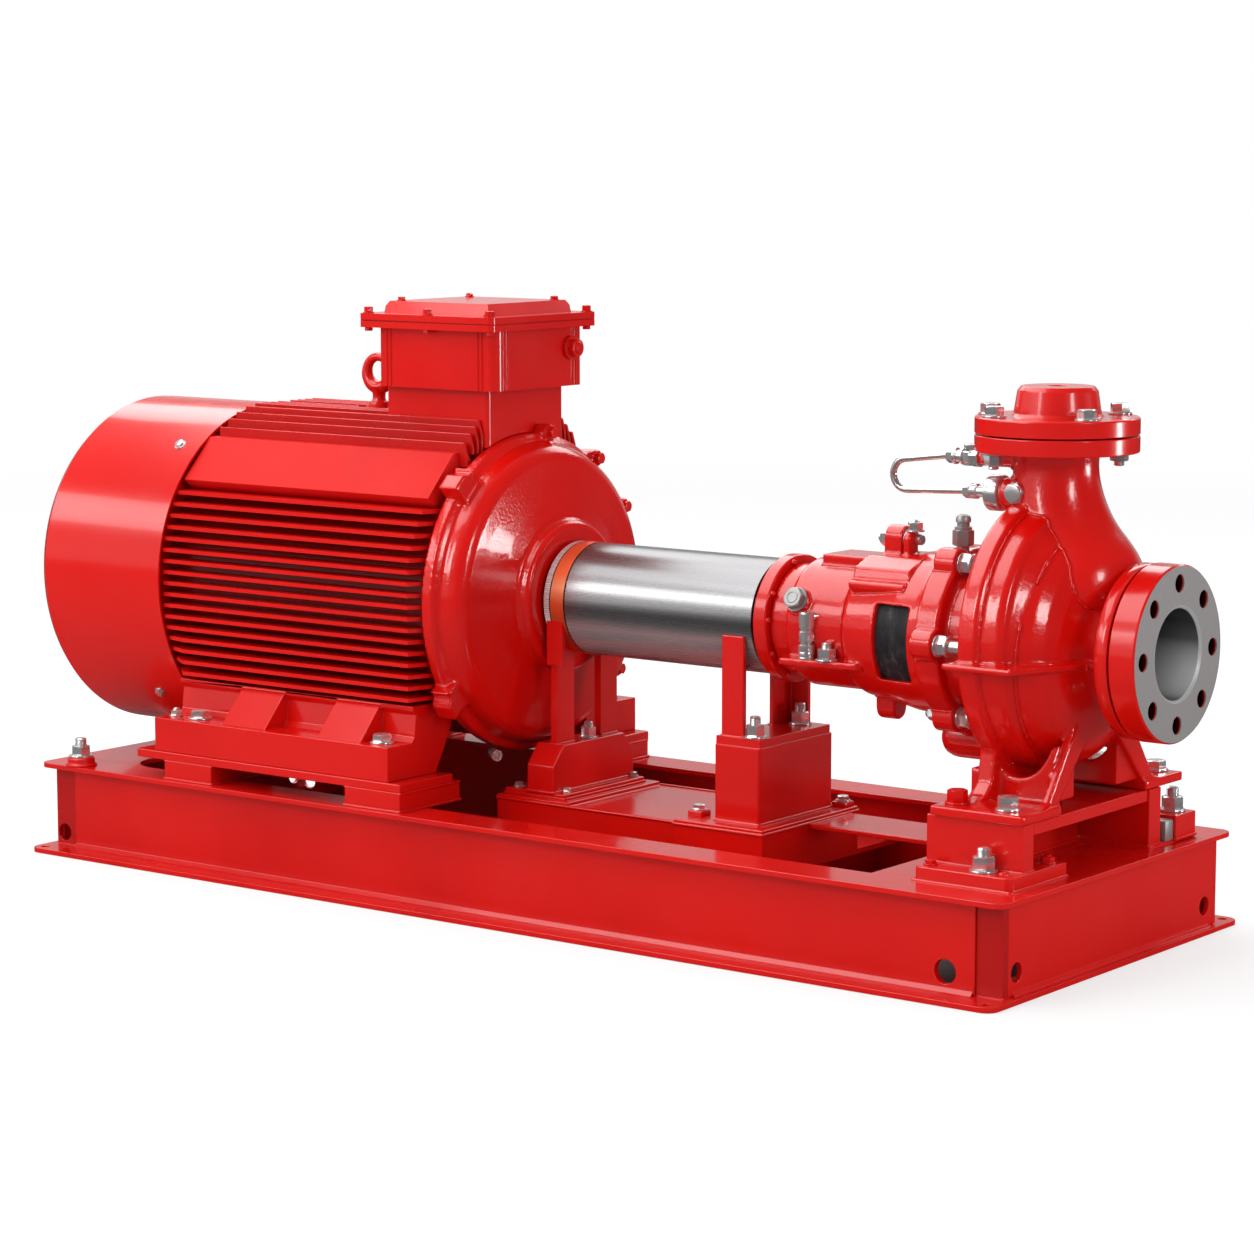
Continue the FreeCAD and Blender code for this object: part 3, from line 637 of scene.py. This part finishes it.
def hexHead(form, place, across, low, high):
    across, low, high = across * mm, low * mm, high * mm
    half = across / 2
    flat = half * hexShape["flat"]

    def hexRadius(turn):
        step = math.pi / 3
        return half / math.cos((turn % step) - step / 2)

    def shoulder(turn):
        return high - (hexRadius(turn) - flat) * math.tan(math.radians(hexShape["chamfer"]))

    rows = [(lambda turn: hexRadius(turn) * hexShape["foot"], low),
            (hexRadius, low + across * hexShape["footHigh"]), (hexRadius, shoulder),
            (flat, high), (half * hexShape["crown"], high + across * hexShape["crownHigh"])]
    skinOver(form, [ringLoop(form, place, radius, height, hexShape["around"])
                    for radius, height in rows])


def hexPart(form, spot, axis, across, low, high, spin=0.0):
    hexHead(form, turnTo(axis, spot, spin), across, low, high)


def washer(form, place, outer, thick, low=0.0):
    soft = thick * fastener["washerSoft"]
    edge, top = outer * fastener["washerEdge"], low + thick
    lathe(form, place, [(edge, low), (outer, low + soft), (outer, top - soft), (edge, top),
                        (outer * fastener["washerHole"], top)])


def threadEnd(form, place, radius, low, high):
    root, pitch = radius * fastener["threadRoot"], fastener["pitch"]
    profile = [(root, low)]
    for turn in range(int((high - low - radius * 0.25) / pitch + 0.01)):
        h = low + turn * pitch
        profile += [(radius, h + pitch * 0.35), (root, h + pitch * 0.85)]
    profile += [(radius, high - radius * 0.22), (radius * 0.72, high)]
    lathe(form, place, profile, 20)


def hexBolt(form, spot, axis, size, spin, high, wide=fastener["washerWide"]):
    place = turnTo(axis, spot, spin)
    thick = size * fastener["washerThick"]
    top = thick + size * high
    washer(form, place, size * wide, thick)
    hexHead(form, place, size * fastener["across"], thick, top)
    return place, top


def studNut(form, spot, axis, size, reach, spin, high=0.85):
    place, top = hexBolt(form, spot, axis, size, spin, high)
    threadEnd(form, place, size / 2, top - 0.5, top + reach)


def domeHead(form, spot, axis, radius, high):
    arc = [math.radians(14 * i) for i in range(7)]
    turnedPart(form, spot, axis, [(radius, 0)] + [
        (radius * math.cos(a), radius * (high * math.sin(a) + 0.15)) for a in arc], 20)


def softBlock(form, sides, rounding):
    x0, x1, y0, y1, z0, z1 = sides
    made = bmesh.ops.create_cube(form, size=1.0)["verts"]
    for vert in made:
        vert.co = at(x0 if vert.co.x < 0 else x1, y0 if vert.co.y < 0 else y1,
                     z0 if vert.co.z < 0 else z1)
    edges = {edge for vert in made for edge in vert.link_edges}
    bmesh.ops.bevel(form, geom=list(edges), offset=rounding * mm, segments=2, profile=0.5,
                    affect="EDGES")


# Base frame and deck: studs, bolts, the bosses under them and a packer by the rear foot
base = {
    "stud": (-848, 308, 160), "studSize": 19, "studReach": 13,
    "saddle": [(-106, -84), (-18, -76), (-18, 96), (-106, 92)], "saddleZ": 160, "saddleSize": 8,
    "plinth": [(240, -80), (372, 112), (244, 112)], "plinthZ": 153, "plinthSize": 11,
    "bossHalf": 13, "bossHigh": 8,
    "packer": (874, 896, 172, 196, 149.5, 180),
}


def baseBolts(form):
    x, y, z = base["stud"]
    for side in (-1, 1):
        studNut(form, at(x, side * y, z), upward, base["studSize"], base["studReach"], 0.3, 0.8)
    for i, (x, y) in enumerate(base["saddle"]):
        hexBolt(form, at(x, y, base["saddleZ"]), upward, base["saddleSize"], 0.3 * i, 0.65)
    for i, (x, y) in enumerate(base["plinth"]):
        hexBolt(form, at(x, y, base["plinthZ"] + base["bossHigh"]), upward, base["plinthSize"],
                0.4 * i, 0.6)


def plinthBosses(form):
    half, low = base["bossHalf"], base["plinthZ"]
    for x, y in base["plinth"]:
        softBlock(form, (x - half, x + half, y - half, y + half, low - 1,
                         low + base["bossHigh"]), 2)


def packer(form):
    softBlock(form, base["packer"], 1.6)


makeSet("baseBolts", brightSteel, "bright_steel", baseBolts)
makeSet("plinthBosses", smallRed, "painted_steel", plinthBosses)
makeSet("machinedPacker", dullSteel, "bright_steel", packer)

# Motor fasteners; turns are in degrees about the shaft
motor = {
    "feet": (-600, -215), "footY": 284, "footZ": 244, "footSize": 18,
    "small": (-652, 285), "smallSize": 11,
    "cover": [(-742, 129), (-776, -135), (-742, 51), (-776, -45)], "coverR": 274.5,
    "frameX": -680, "frame": (-135, -45), "frameR": 262, "screwSize": 9, "screwWide": 1.1,
    "shieldX": -132.5, "shield": (28, 53, 83, 325), "shieldR": 253, "shieldSize": 11,
    "plug": (-162, -84, 209), "plugAxis": (0.85, -0.5, -0.1),
}


def motorBolts(form):
    for x in motor["feet"]:
        for side in (-1, 1):
            hexBolt(form, at(x, side * motor["footY"], motor["footZ"]), upward,
                    motor["footSize"], 0.4 + x, 0.62)
    x, y = motor["small"]
    for side in (-1, 1):
        studNut(form, at(x, side * y, motor["footZ"]), upward, motor["smallSize"], 4, 0.2, 0.7)
    screws = [(x, motor["coverR"], turn, 0.55) for x, turn in motor["cover"]]
    screws += [(motor["frameX"], motor["frameR"], turn, 0.6) for turn in motor["frame"]]
    for x, radius, turn, high in screws:
        hexBolt(form, aboutShaft(x, radius, turn), outward(turn), motor["screwSize"], 0.2, high,
                motor["screwWide"])


makeSet("motorBolts", brightSteel, "bright_steel", motorBolts)

# Upper fins: a stair of four beside the neck, and level ones behind it and about the eye
fins = {
    "stair": [(135, 699, -687), (121, 712, -682), (109.5, 722.5, -674), (99.5, 732, -662)],
    "flat": (15, 33, 51, 70), "level": 735, "root": 680, "thick": 5,
    "back": -669, "neckBack": -365, "front": -164, "eyeGap": (-494, -430), "eyeY": 30,
    "slope": 6, "slopeHigh": 22, "soft": 1.2, "least": 25, "reach": 38, "easing": 0.8,
}


def upperFin(form, x0, x1, y, high, slope):
    half, soft = fins["thick"] / 2, fins["soft"]
    low = fins["root"] if high > fins["root"] + fins["least"] else high - fins["reach"]
    outline = [(x0, low), (x1, low), (x1, high - fins["slopeHigh"]), (x1 - slope, high - soft),
               (x1 - slope - soft, high), (x0, high)]
    skinOver(form, [[form.verts.new(at(x, y + side, z)) for x, z in outline]
                    for side in (-half, half)])


def upperFins(form):
    back, neckBack = fins["back"], fins["neckBack"]
    gapBack, gapFront = fins["eyeGap"]
    for side in (-1, 1):
        for y, high, start in fins["stair"]:
            upperFin(form, start, fins["front"], side * y, high, fins["slope"])
        for y in fins["flat"]:
            parted = y < fins["eyeY"]  # to leave room for the lifting eye
            runs = [(back, gapBack), (gapFront, neckBack)] if parted else [(back, neckBack)]
            for x0, x1 in runs:
                upperFin(form, x0, x1, side * y, fins["level"], 0)
    bmesh.ops.recalc_face_normals(form, faces=form.faces)
    edges = [edge for edge in form.edges if edge.calc_face_angle(0) > 0.5]
    bmesh.ops.bevel(form, geom=edges, offset=fins["easing"] * mm, segments=1, profile=0.5,
                    affect="EDGES", clamp_overlap=True)


def shieldBolts(form):
    for turn in motor["shield"]:
        hexBolt(form, aboutShaft(motor["shieldX"], motor["shieldR"], turn), toPump,
                motor["shieldSize"], turn, 0.7)


def shieldPlug(form):
    turnedPart(form, at(*motor["plug"]), motor["plugAxis"], [
        (6, 0), (6, 8), (8, 9), (8, 22), (9.4, 23), (9.4, 26), (8.6, 27.4), (7.4, 27.4),
        (6.6, 25.6), (4.6, 25.6), (4.2, 27.0), (2.4, 27.4), (1.2, 26.6)])


makeSet("upperFins", flankRed, "painted_casting", upperFins)
makeSet("shieldBolts", smallRed, "painted_casting", shieldBolts)
makeSet("shieldPlug", brightSteel, "bright_steel", shieldPlug)

# Terminal box lid screws, painted over: on its rim, with a nut below each, and on its panel
lid = {
    "rim": [(-377, -121), (-377, 121), (-130, -121), (-130, 121), (-325, 122), (-198, 122),
            (-254, -123)],
    "rimTop": 893, "rimLow": 871, "rimSize": 8.5,
    "panel": [(-340, -84), (-340, 84), (-166, 84)], "panelTop": 912, "panelSize": 7,
}


def lidBolts(form):
    for i, (x, y) in enumerate(lid["rim"]):
        hexBolt(form, at(x, y, lid["rimTop"]), upward, lid["rimSize"], 0.35 * i, 1.0)
        hexPart(form, at(x, y, lid["rimLow"]), downward, 12, 0, 6, 0.4)
    for i, (x, y) in enumerate(lid["panel"]):
        hexBolt(form, at(x, y, lid["panelTop"]), upward, lid["panelSize"], 0.3 * i, 0.7)


makeSet("lidBolts", smallRed, "painted_casting", lidBolts)

# Lifting eye: a ring that is thicker below, on a turned foot
eyeRing = {"x": -462, "z": 790, "reach": 25, "thick": 7.2, "swell": 0.25, "around": 48,
           "section": 14, "footZ": 734.5}


def roundEye(form):
    loops = []
    for i in range(eyeRing["around"]):
        turn = 2 * math.pi * i / eyeRing["around"]
        out = Vector((math.cos(turn), 0, math.sin(turn)))
        thick = eyeRing["thick"] * (1 + eyeRing["swell"] - eyeRing["swell"] * math.sin(turn))
        spot = at(eyeRing["x"], 0, eyeRing["z"]) + out * eyeRing["reach"] * mm
        loops.append(crossRing(form, spot, out, Vector((0, 1, 0)), thick * mm,
                               eyeRing["section"]))
    skinOver(form, loops, ring=True)
    turnedPart(form, at(eyeRing["x"], 0, eyeRing["footZ"]), upward, [
        (18, 0), (18, 6), (17, 8), (12, 9), (10.5, 13), (10.5, 20), (12, 26), (14, 32)])


eye = makeSet("liftingEye", smallRed, "painted_casting", roundEye, 50.0)
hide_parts("lifting_eye")
print("motor dressed")

# Pump fasteners: outlet flanges, feet, pedestals and casing cover
pump = {
    "outlet": (-162, -125, -35, 55, 145), "noNut": -35, "outletX": 804.5, "outletR": 97,
    "outletTop": 778.5, "outletLow": 728.5, "outletSize": 16.5, "underSize": 15.5,
    "footZ": 247, "feet": [(850, -196, 17, 1.0), (858, 208, 18, 0.7), (764, 208, 17, 0.8)],
    "studs": [(838, -238, 166, 19, 12), (874, 232, 185, 19, 14), (341, -78, 281, 17, 13),
              (322, 68, 281, 17, 13), (-40, 8, 232, 15, 8)],
    "cover": range(0, 360, 60), "coverX": 690, "coverR": 128,
}


def pumpBolts(form):
    for degrees in pump["outlet"]:
        turn = math.radians(degrees)
        x = pump["outletX"] + pump["outletR"] * math.cos(turn)
        y = pump["outletR"] * math.sin(turn)
        hexBolt(form, at(x, y, pump["outletTop"]), upward, pump["outletSize"], 0.3 + turn, 0.8)
        if degrees != pump["noNut"]:
            studNut(form, at(x, y, pump["outletLow"]), downward, pump["underSize"], 7, turn, 0.9)
    for x, y, size, high in pump["feet"]:
        hexBolt(form, at(x, y, pump["footZ"]), upward, size, 0.3, high)
    for x, y, z, size, reach in pump["studs"]:
        studNut(form, at(x, y, z), upward, size, reach, 0.2, 1.0)


# Painted bolts, and the screws about the bearing cover
painted = {
    "foot": (766, -192, 247), "plate": (752, -238, 166), "dome": (872, -241, 166),
    "stud": (876, -130, 166),
    "cover": (22, 58, 105, 150, 176, 210, 246, 282, 318, 350), "coverX": 370, "coverR": 89,
    "button": (650, 124, 182),
}


def paintedPumpBolts(form):
    hexBolt(form, at(*painted["foot"]), upward, 17, 0.6, 1.0)
    hexBolt(form, at(*painted["plate"]), upward, 10, 0.2, 0.5)
    domeHead(form, at(*painted["dome"]), upward, 7, 0.5)
    studNut(form, at(*painted["stud"]), upward, 12, 3, 0.4, 0.6)
    for turn in painted["cover"]:
        domeHead(form, aboutShaft(painted["coverX"], painted["coverR"], turn), toPump, 4.6, 1.0)
    domeHead(form, aboutShaft(*painted["button"]), toMotor, 9, 0.9)


def coverNuts(form):
    for degrees in pump["cover"]:
        place = turnTo(toPump, aboutShaft(pump["coverX"], pump["coverR"], degrees), 0.2)
        washer(form, place, 16.5, 3)
        hexHead(form, place, 27, 3, 17)
        washer(form, place, 15.5, 4, 17)
        lathe(form, place, [(9.5, 20), (9.5, 77)])


makeSet("pumpBolts", brightSteel, "bright_steel", pumpBolts)
makeSet("paintedPumpBolts", smallRed, "painted_casting", paintedPumpBolts)
makeSet("coverNuts", brightSteel, "bright_steel", coverNuts)

# Plug, vent, oiler and lug bolt on the bearing housing
housing = {
    "plug": (425, 102, 156), "vent": (676, -40, 574),
    "oiler": (447, -100, 412), "elbowZ": 474, "elbowAxis": (0.62, 0.78, 0),
    "oilerNut": (482, -99, 412), "lugX": (527, 557), "lugZ": 587,
    "topNut": (572, -4, 599), "lowNut": (650, -62, 345),
}


def housingTrim(form):
    spot, axis = aboutShaft(*housing["plug"]), outward(housing["plug"][2])
    turnedPart(form, spot, axis, [(18, 0), (18.5, 1), (18.5, 2.6), (18, 3.4)])
    hexPart(form, spot, axis, 29, 3.2, 14, 0.3)
    turnedPart(form, spot, axis, [(9.5, 13.5), (9.5, 14.8), (8.6, 15.2), (7.4, 15.2),
                                  (7.0, 14.3), (3.0, 14.3)])
    spot = at(*housing["vent"])
    turnedPart(form, spot, upward, [(9, 0), (9, 14), (13, 15), (13, 17)])
    hexPart(form, spot, upward, 27, 16, 38, 0.5)
    turnedPart(form, spot, upward, [(12.5, 37), (12.5, 42), (9, 43), (9, 48), (11, 49),
                                    (11, 54), (9, 58), (5, 60)])


def oilerTrim(form):
    x, y, z = housing["oiler"]
    turnedPart(form, at(x, y, z), upward, [
        (12, 0), (12, 2), (11, 3), (11, 6), (12, 7), (12, 10), (11.4, 11), (12, 12), (12, 20),
        (8.6, 22), (8.6, 25), (11, 26), (11, 40), (9.6, 41), (9.6, 46), (11.6, 47), (11.6, 67),
        (10, 69), (4, 70)])
    hexPart(form, at(x, y, z), upward, 21, 27, 38, 0.2)
    turnedPart(form, at(x, y, housing["elbowZ"]), housing["elbowAxis"], [(6.4, 0), (6.4, 30)])
    turnedPart(form, at(x + 9, y + 11, housing["elbowZ"]), housing["elbowAxis"],
               [(8.5, 0), (8.5, 6), (7.5, 7)])


def housingNuts(form):
    studNut(form, at(*housing["oilerNut"]), upward, 16, 9, 0.3, 0.95)
    head, tail = [at(x, 0, housing["lugZ"]) for x in housing["lugX"]]
    hexPart(form, head, toMotor, 24, 0, 12)
    turnedPart(form, head, toMotor, [(8, 11), (8, 16), (7, 17)])
    turnedPart(form, tail, toPump, [(14.5, 0), (14.5, 3), (13, 4)])
    hexPart(form, tail, toPump, 22, 3, 14)
    turnedPart(form, tail, toPump, [(8, 13), (8, 24), (6.5, 26)])
    studNut(form, at(*housing["topNut"]), upward, 13, 3, 0.3, 0.9)
    studNut(form, at(*housing["lowNut"]), toMotor, 12, 6, 0.2)


trim = makeSet("housingTrim", dullSteel, "bright_steel", housingTrim)
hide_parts("housing_plugs")
oilerPiece = makeSet("oilerBody", brightSteel, "bright_steel", oilerTrim)
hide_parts("oiler")
makeSet("housingNuts", brightSteel, "bright_steel", housingNuts)

# Flush line fittings: one at each end of the tube, and the tee on the upper one
flushLine = {"low": (667, -20, 666), "high": (638, -20, 715), "tee": (676, -20, 703)}


def flushTrim(form):
    low, high, tee = [at(*flushLine[key]) for key in ("low", "high", "tee")]
    for spot in (low, high):
        hexPart(form, spot, toPump, 19, 0, 9)
        turnedPart(form, spot, toPump, [(6, -4), (7, 0)])
    turnedPart(form, low, toPump, [(7, 8), (7, 11), (11, 12), (11, 20), (8, 22), (8, 30),
                                   (9, 31), (9, 46)])
    hexPart(form, low, toPump, 20, 12, 21, 0.3)
    turnedPart(form, low, toPump, [(20, 42), (25.4, 43), (26, 45), (26, 48), (25.3, 48.6),
                                   (26, 49.2), (26, 62), (25.4, 64), (20, 66), (20, 68)], 40)
    turnedPart(form, high, toPump, [(7, 8), (7, 10), (12, 11), (12, 14), (9, 15), (9, 22),
                                    (12, 23), (12, 26), (8, 27), (8, 36)])
    hexPart(form, high, toPump, 26, 40, 54, 0.3)
    turnedPart(form, tee, upward, [(12, 0), (12, 4), (13, 5), (13, 19), (12, 20), (9, 21),
                                   (9, 24)])
    hexPart(form, tee, upward, 20, 22, 30, 0.2)


flush = makeSet("flushFittings", brightSteel, "bright_steel", flushTrim)
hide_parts("flush_fittings")

# Suction side: a machined bore that ends closed inside the casing, its end a sheet of painted
# shade, the flange's rim, and the plug on the neck above
suction = {
    "boreX": 852, "collarX": 939, "plug": (771, -50, 671), "plugAxis": (0, -1, 0),
    "bore": [(64.9, 0), (64.9, 149), (64.2, 149), (64.2, 1), (40, 0.8), (0.5, 0.8)],
    "collar": [(110, 0.4), (122.5, 0.4), (124.6, 2.4), (124.6, 19.6), (123.8, 20.7),
               (110, 20.7)],
}


# the closed end of the bore is a sheet that carries painted shade
def boreSkin(form):
    turnedPart(form, at(suction["boreX"], 0, shaftHigh), toPump, suction["bore"], 72)


def flangeCollar(form):
    turnedPart(form, at(suction["collarX"], 0, shaftHigh), toPump, suction["collar"], 96,
               ring=True)


def neckPlug(form):
    spot, axis = at(*suction["plug"]), suction["plugAxis"]
    turnedPart(form, spot, axis, [(17, 0), (17, 2), (16, 3)])
    hexPart(form, spot, axis, 28, 2.5, 12, 0.2)
    turnedPart(form, spot, axis, [(13, 11), (13.4, 14), (12.6, 16), (10, 16.6), (4, 16.8)])


makeSet("suctionBore", boreMetal, "machined_steel", boreSkin)
makeSet("flangeCollar", flangeMetal, "machined_steel", flangeCollar, 50.0)
makeSet("neckPlug", brightSteel, "bright_steel", neckPlug)
print("pump dressed")

# Weld beads, drawn as lumpy cords: straight ones along the base frame, and ones round the foot
# of each plate and post
weld = {
    "step": 3.2, "around": 7, "lumps": 0.16, "ripple": 0.10,
    "straight": [((-863, -308, 9), (866, -308, 9), 3.4),
                 ((-863, -308, 137), (866, -308, 137), 2.2),
                 ((912, -278, 9), (912, 278, 9), 3.4), ((912, -278, 137), (912, 278, 137), 2.2),
                 ((866, -306, 10), (866, -306, 137), 2.6),
                 ((-863, -306, 10), (-863, -306, 137), 2.6)],
    "round": [(-122, 226, -120, 120, 146, 2.4), (-119, 0, -103, 103, 153, 2.0),
              (-75, -22, -103, 103, 160, 3.0), (226, 390, -128, 128, 146, 2.6),
              (280, 362, -98, 98, 153, 3.2), (737, 895, -261, -109, 146, 2.8),
              (733, 890, -220, -191, 166, 2.6), (737, 895, 125, 261, 146, 2.6),
              (737, 893, 129, 163, 150, 2.6), (846, 900, 197, 257, 150, 2.4),
              (-48, -35, -76, -34, 232, 2.4), (-48, -35, 34, 76, 232, 2.4),
              (287, 295, -82, -35, 281, 2.2), (287, 295, 35, 82, 281, 2.2),
              (287, 327, -90, -82, 281, 2.2), (766, 778, -105, 125, 147, 2.6)],
    "spacerX": ((-265, -153), (-650, -548)), "spacerY": ((-317, -172), (172, 317)),
}


def weldSeam(form, points, size, seed):
    step = weld["step"] * mm
    rings = []
    travelled = 0.0
    for start, end in zip(points, points[1:]):
        along = end - start
        parts = max(2, int(along.length / step))
        side = along.cross(Vector(upward))
        if side.length < 1e-6:
            side = Vector(toPump)
        side.normalize()
        up = side.cross(along).normalized()
        for i in range(parts + 1):
            travelled += step
            lump = weld["lumps"] * noise.noise(Vector((travelled * 160, seed, 0.0)))
            r = size * mm * (1 + lump + weld["ripple"] * math.sin(travelled * 900))
            rings.append(crossRing(form, start + along * (i / parts), side, up, r,
                                   weld["around"]))
    skinOver(form, rings)


def weldRound(form, x0, x1, y0, y1, z, size, seed):
    corners = [(x0, y0), (x1, y0), (x1, y1), (x0, y1), (x0, y0)]
    weldSeam(form, [at(x, y, z) for x, y in corners], size, seed)


def welds(form):
    for seed, (start, end, size) in enumerate(weld["straight"]):
        weldSeam(form, [at(*start), at(*end)], size, seed)
    for seed, seam in enumerate(weld["round"], len(weld["straight"])):
        weldRound(form, *seam, seed)
    for x0, x1 in weld["spacerX"]:
        for y0, y1 in weld["spacerY"]:
            weldRound(form, x0, x1, y0, y1, 147, 2.6, 30 + x0 * 0.01)
            weldRound(form, x0, x1, y0 + 2, y1 - 2, 175, 2.2, 40 + x0 * 0.01)


makeSet("weldBeads", plateRed, "painted_steel", welds, 60.0)

# Lumpy fillets left by the casting along every inner corner: thickness and lift for each node
crease = {
    "pump_casing": (2.3, 1.5), "bearing_housing": (1.5, 0.9), "casing_cover": (1.5, 0.8),
}
creaseShape = {"least": 28.0, "step": 3.4, "around": 6, "lumps": 0.55, "grit": 0.25}


def creaseCords(form, name, size, lift):
    source = formOf(name)
    bmesh.ops.remove_doubles(source, verts=source.verts, dist=easing["merge"])
    least = math.radians(creaseShape["least"])
    made = 0
    for edge in source.edges:
        if not edge.is_manifold or edge.calc_face_angle_signed(0) > -least:
            continue
        start, end = (vert.co.copy() for vert in edge.verts)
        along = end - start
        if along.length < 1e-5:
            continue
        out = (edge.link_faces[0].normal + edge.link_faces[1].normal).normalized()
        side = along.cross(out).normalized()
        up = side.cross(along).normalized()
        parts = max(1, round(along.length / (creaseShape["step"] * mm)))
        rings = []
        for i in range(parts + 1):
            spot = start + along * (i / parts)
            rough = (creaseShape["lumps"] * noise.noise(spot * 130)
                     + creaseShape["grit"] * noise.noise(spot * 420))
            rings.append(crossRing(form, spot + out * lift * mm, side, up,
                                   size * mm * (1 + rough), creaseShape["around"]))
        skinOver(form, rings)
        made += 1
    source.free()
    print("creases on", name, made)


def pumpCreases(form):
    for name, (size, lift) in crease.items():
        creaseCords(form, name, size, lift)


makeSet("pumpCreases", castRed, "painted_casting", pumpCreases, 75.0)
print("welds laid")


# Camera matched to the photograph
view = {"lens": 103.54, "sensor": 36, "azimuth": 37.108, "pitch": 7.8, "near": 0.05, "far": 200,
        "at": (3.38774, -4.42214, 1.17405)}
turn, tilt = math.radians(view["azimuth"]), math.radians(view["pitch"])
back = Vector((math.sin(turn) * math.cos(tilt), -math.cos(turn) * math.cos(tilt), math.sin(tilt)))
camera = bpy.data.objects.new("photoCamera", bpy.data.cameras.new("photoCamera"))
scene.collection.objects.link(camera)
camera.data.sensor_width = view["sensor"]
camera.data.lens = view["lens"]
camera.data.clip_start = view["near"]
camera.data.clip_end = view["far"]
camera.location = view["at"]
camera.rotation_mode = "QUATERNION"
camera.rotation_quaternion = (-back).to_track_quat("-Z", "Y")
scene.camera = camera


# Studio: pale floor, white beyond it; mirrors see a darker room with a bright horizon.
# A box has its place, what it looks at, its width, its height and its power
studio = {
    "floor": (0.30, 0.30, 0.30, 1), "felt": (0.60, 0.60, 0.60, 1), "lift": 0.64,
    "mirrored": (0.06, 0.06, 0.06, 1), "floorHalf": 40, "floorZ": -0.0005,
    # painted shadow: the floor inside the base frame is dark
    "under": (0.13, 0.12, 0.12, 1), "underX": 0.905, "underY": 0.30,  # inside the base frame
    "far": [(0.22, 0.0), (0.75, 1.0)], "ambient": 0.74, "dark": (0.01, 0.01, 0.01, 1),
    "room": [(0.0, 0.02), (0.497, 0.05), (0.503, 0.70), (0.56, 0.60), (0.66, 0.20), (1.0, 0.35)],
    "sides": [(0.30, 1.0), (0.68, 0.10)],
    "boxes": {
        "topBox": ((-2.0, -0.3, 4.2), (-0.8, 0.0, 0.3), 6.6, 2.9, 170),
        "leftBox": ((-4.3, -4.6, 3.2), (-0.2, 0.0, 0.5), 4.4, 1.5, 84),
        "domeBox": ((5.0, -1.45, 2.3), (0.87, -0.14, 0.5), 0.8, 1.2, 42),
        "bandBox": ((-0.9, -4.4, 2.6), (0.81, -0.18, 0.5), 0.7, 1.7, 44),
        "backBox": ((-1.9, 3.8, 3.5), (0.0, 0.0, 0.5), 7.0, 1.7, 110),
        "rimBox": ((3.73, 2.05, 0.58), (-0.1, -0.1, 0.5), 0.65, 0.65, 27),
    },
}


def rays(paint):
    return [paint.add("ShaderNodeLightPath", out=f"Is {kind} Ray") for kind in ("Camera", "Glossy")]


def studioFloor():
    form = bmesh.new()
    bmesh.ops.create_grid(form, x_segments=2, y_segments=2, size=studio["floorHalf"])
    floor = bpy.data.objects.new("studioFloor", meshFrom(form, "studioFloor"))
    floor.location.z = studio["floorZ"]
    scene.collection.objects.link(floor)
    paint = Paint("paleFloor")
    direct, glossy = rays(paint)
    x, y, z = apart(paint, paint.place())
    lift = paint.add("ShaderNodeEmission", None, {"Strength": studio["lift"]})
    lit = paint.add("ShaderNodeAddShader", None, {0: paint.diffuse(studio["floor"]), 1: lift})
    # painted shadow on the floor inside the base frame
    under = (abs(x) < studio["underX"]) * (abs(y) < studio["underY"])
    near = paint.choose(under, lit, paint.diffuse(studio["under"]))
    white = paint.add("ShaderNodeEmission", None, {"Strength": 1.0})
    far = paint.ramp((x * x + y * y).root() * 0.1, studio["far"])
    seen = paint.choose(far, near, white)
    felt = paint.choose(glossy, paint.diffuse(studio["felt"]), paint.diffuse(studio["mirrored"]))
    floor.data.materials.append(paint.finish(paint.choose(direct, felt, seen)))


def studioLight():
    for name, (place, target, wide, high, power) in studio["boxes"].items():
        lamp = bpy.data.lights.new(name, "AREA")
        lamp.shape = "RECTANGLE"
        lamp.size, lamp.size_y, lamp.energy = wide, high, power
        box = bpy.data.objects.new(name, lamp)
        box.location = place
        box.rotation_mode = "QUATERNION"
        box.rotation_quaternion = (Vector(target) - Vector(place)).to_track_quat("-Z", "Y")
        scene.collection.objects.link(box)
    scene.world = bpy.data.worlds.new("studioWorld")
    paint = Paint(scene.world)
    direct, glossy = rays(paint)
    across, depth, height = apart(paint, paint.add("ShaderNodeTexCoord", out="Generated"))
    wall = paint.ramp(height * 0.5 + 0.5, studio["room"])
    side = paint.ramp(across * 0.5 + 0.5, studio["sides"])
    room = paint.blendColour(side, studio["dark"], wall)
    white, soft, mirror = [
        paint.add("ShaderNodeBackground", None, {"Color": colour, "Strength": strength})
        for colour, strength in [((1, 1, 1, 1), 1.0), ((1, 1, 1, 1), studio["ambient"]),
                                 (room, 1.0)]]
    paint.finish(paint.choose(direct, paint.choose(glossy, soft, mirror), white),
                 "ShaderNodeOutputWorld")


studioFloor()
studioLight()
scene.view_settings.view_transform = "Standard"
print("studio set")
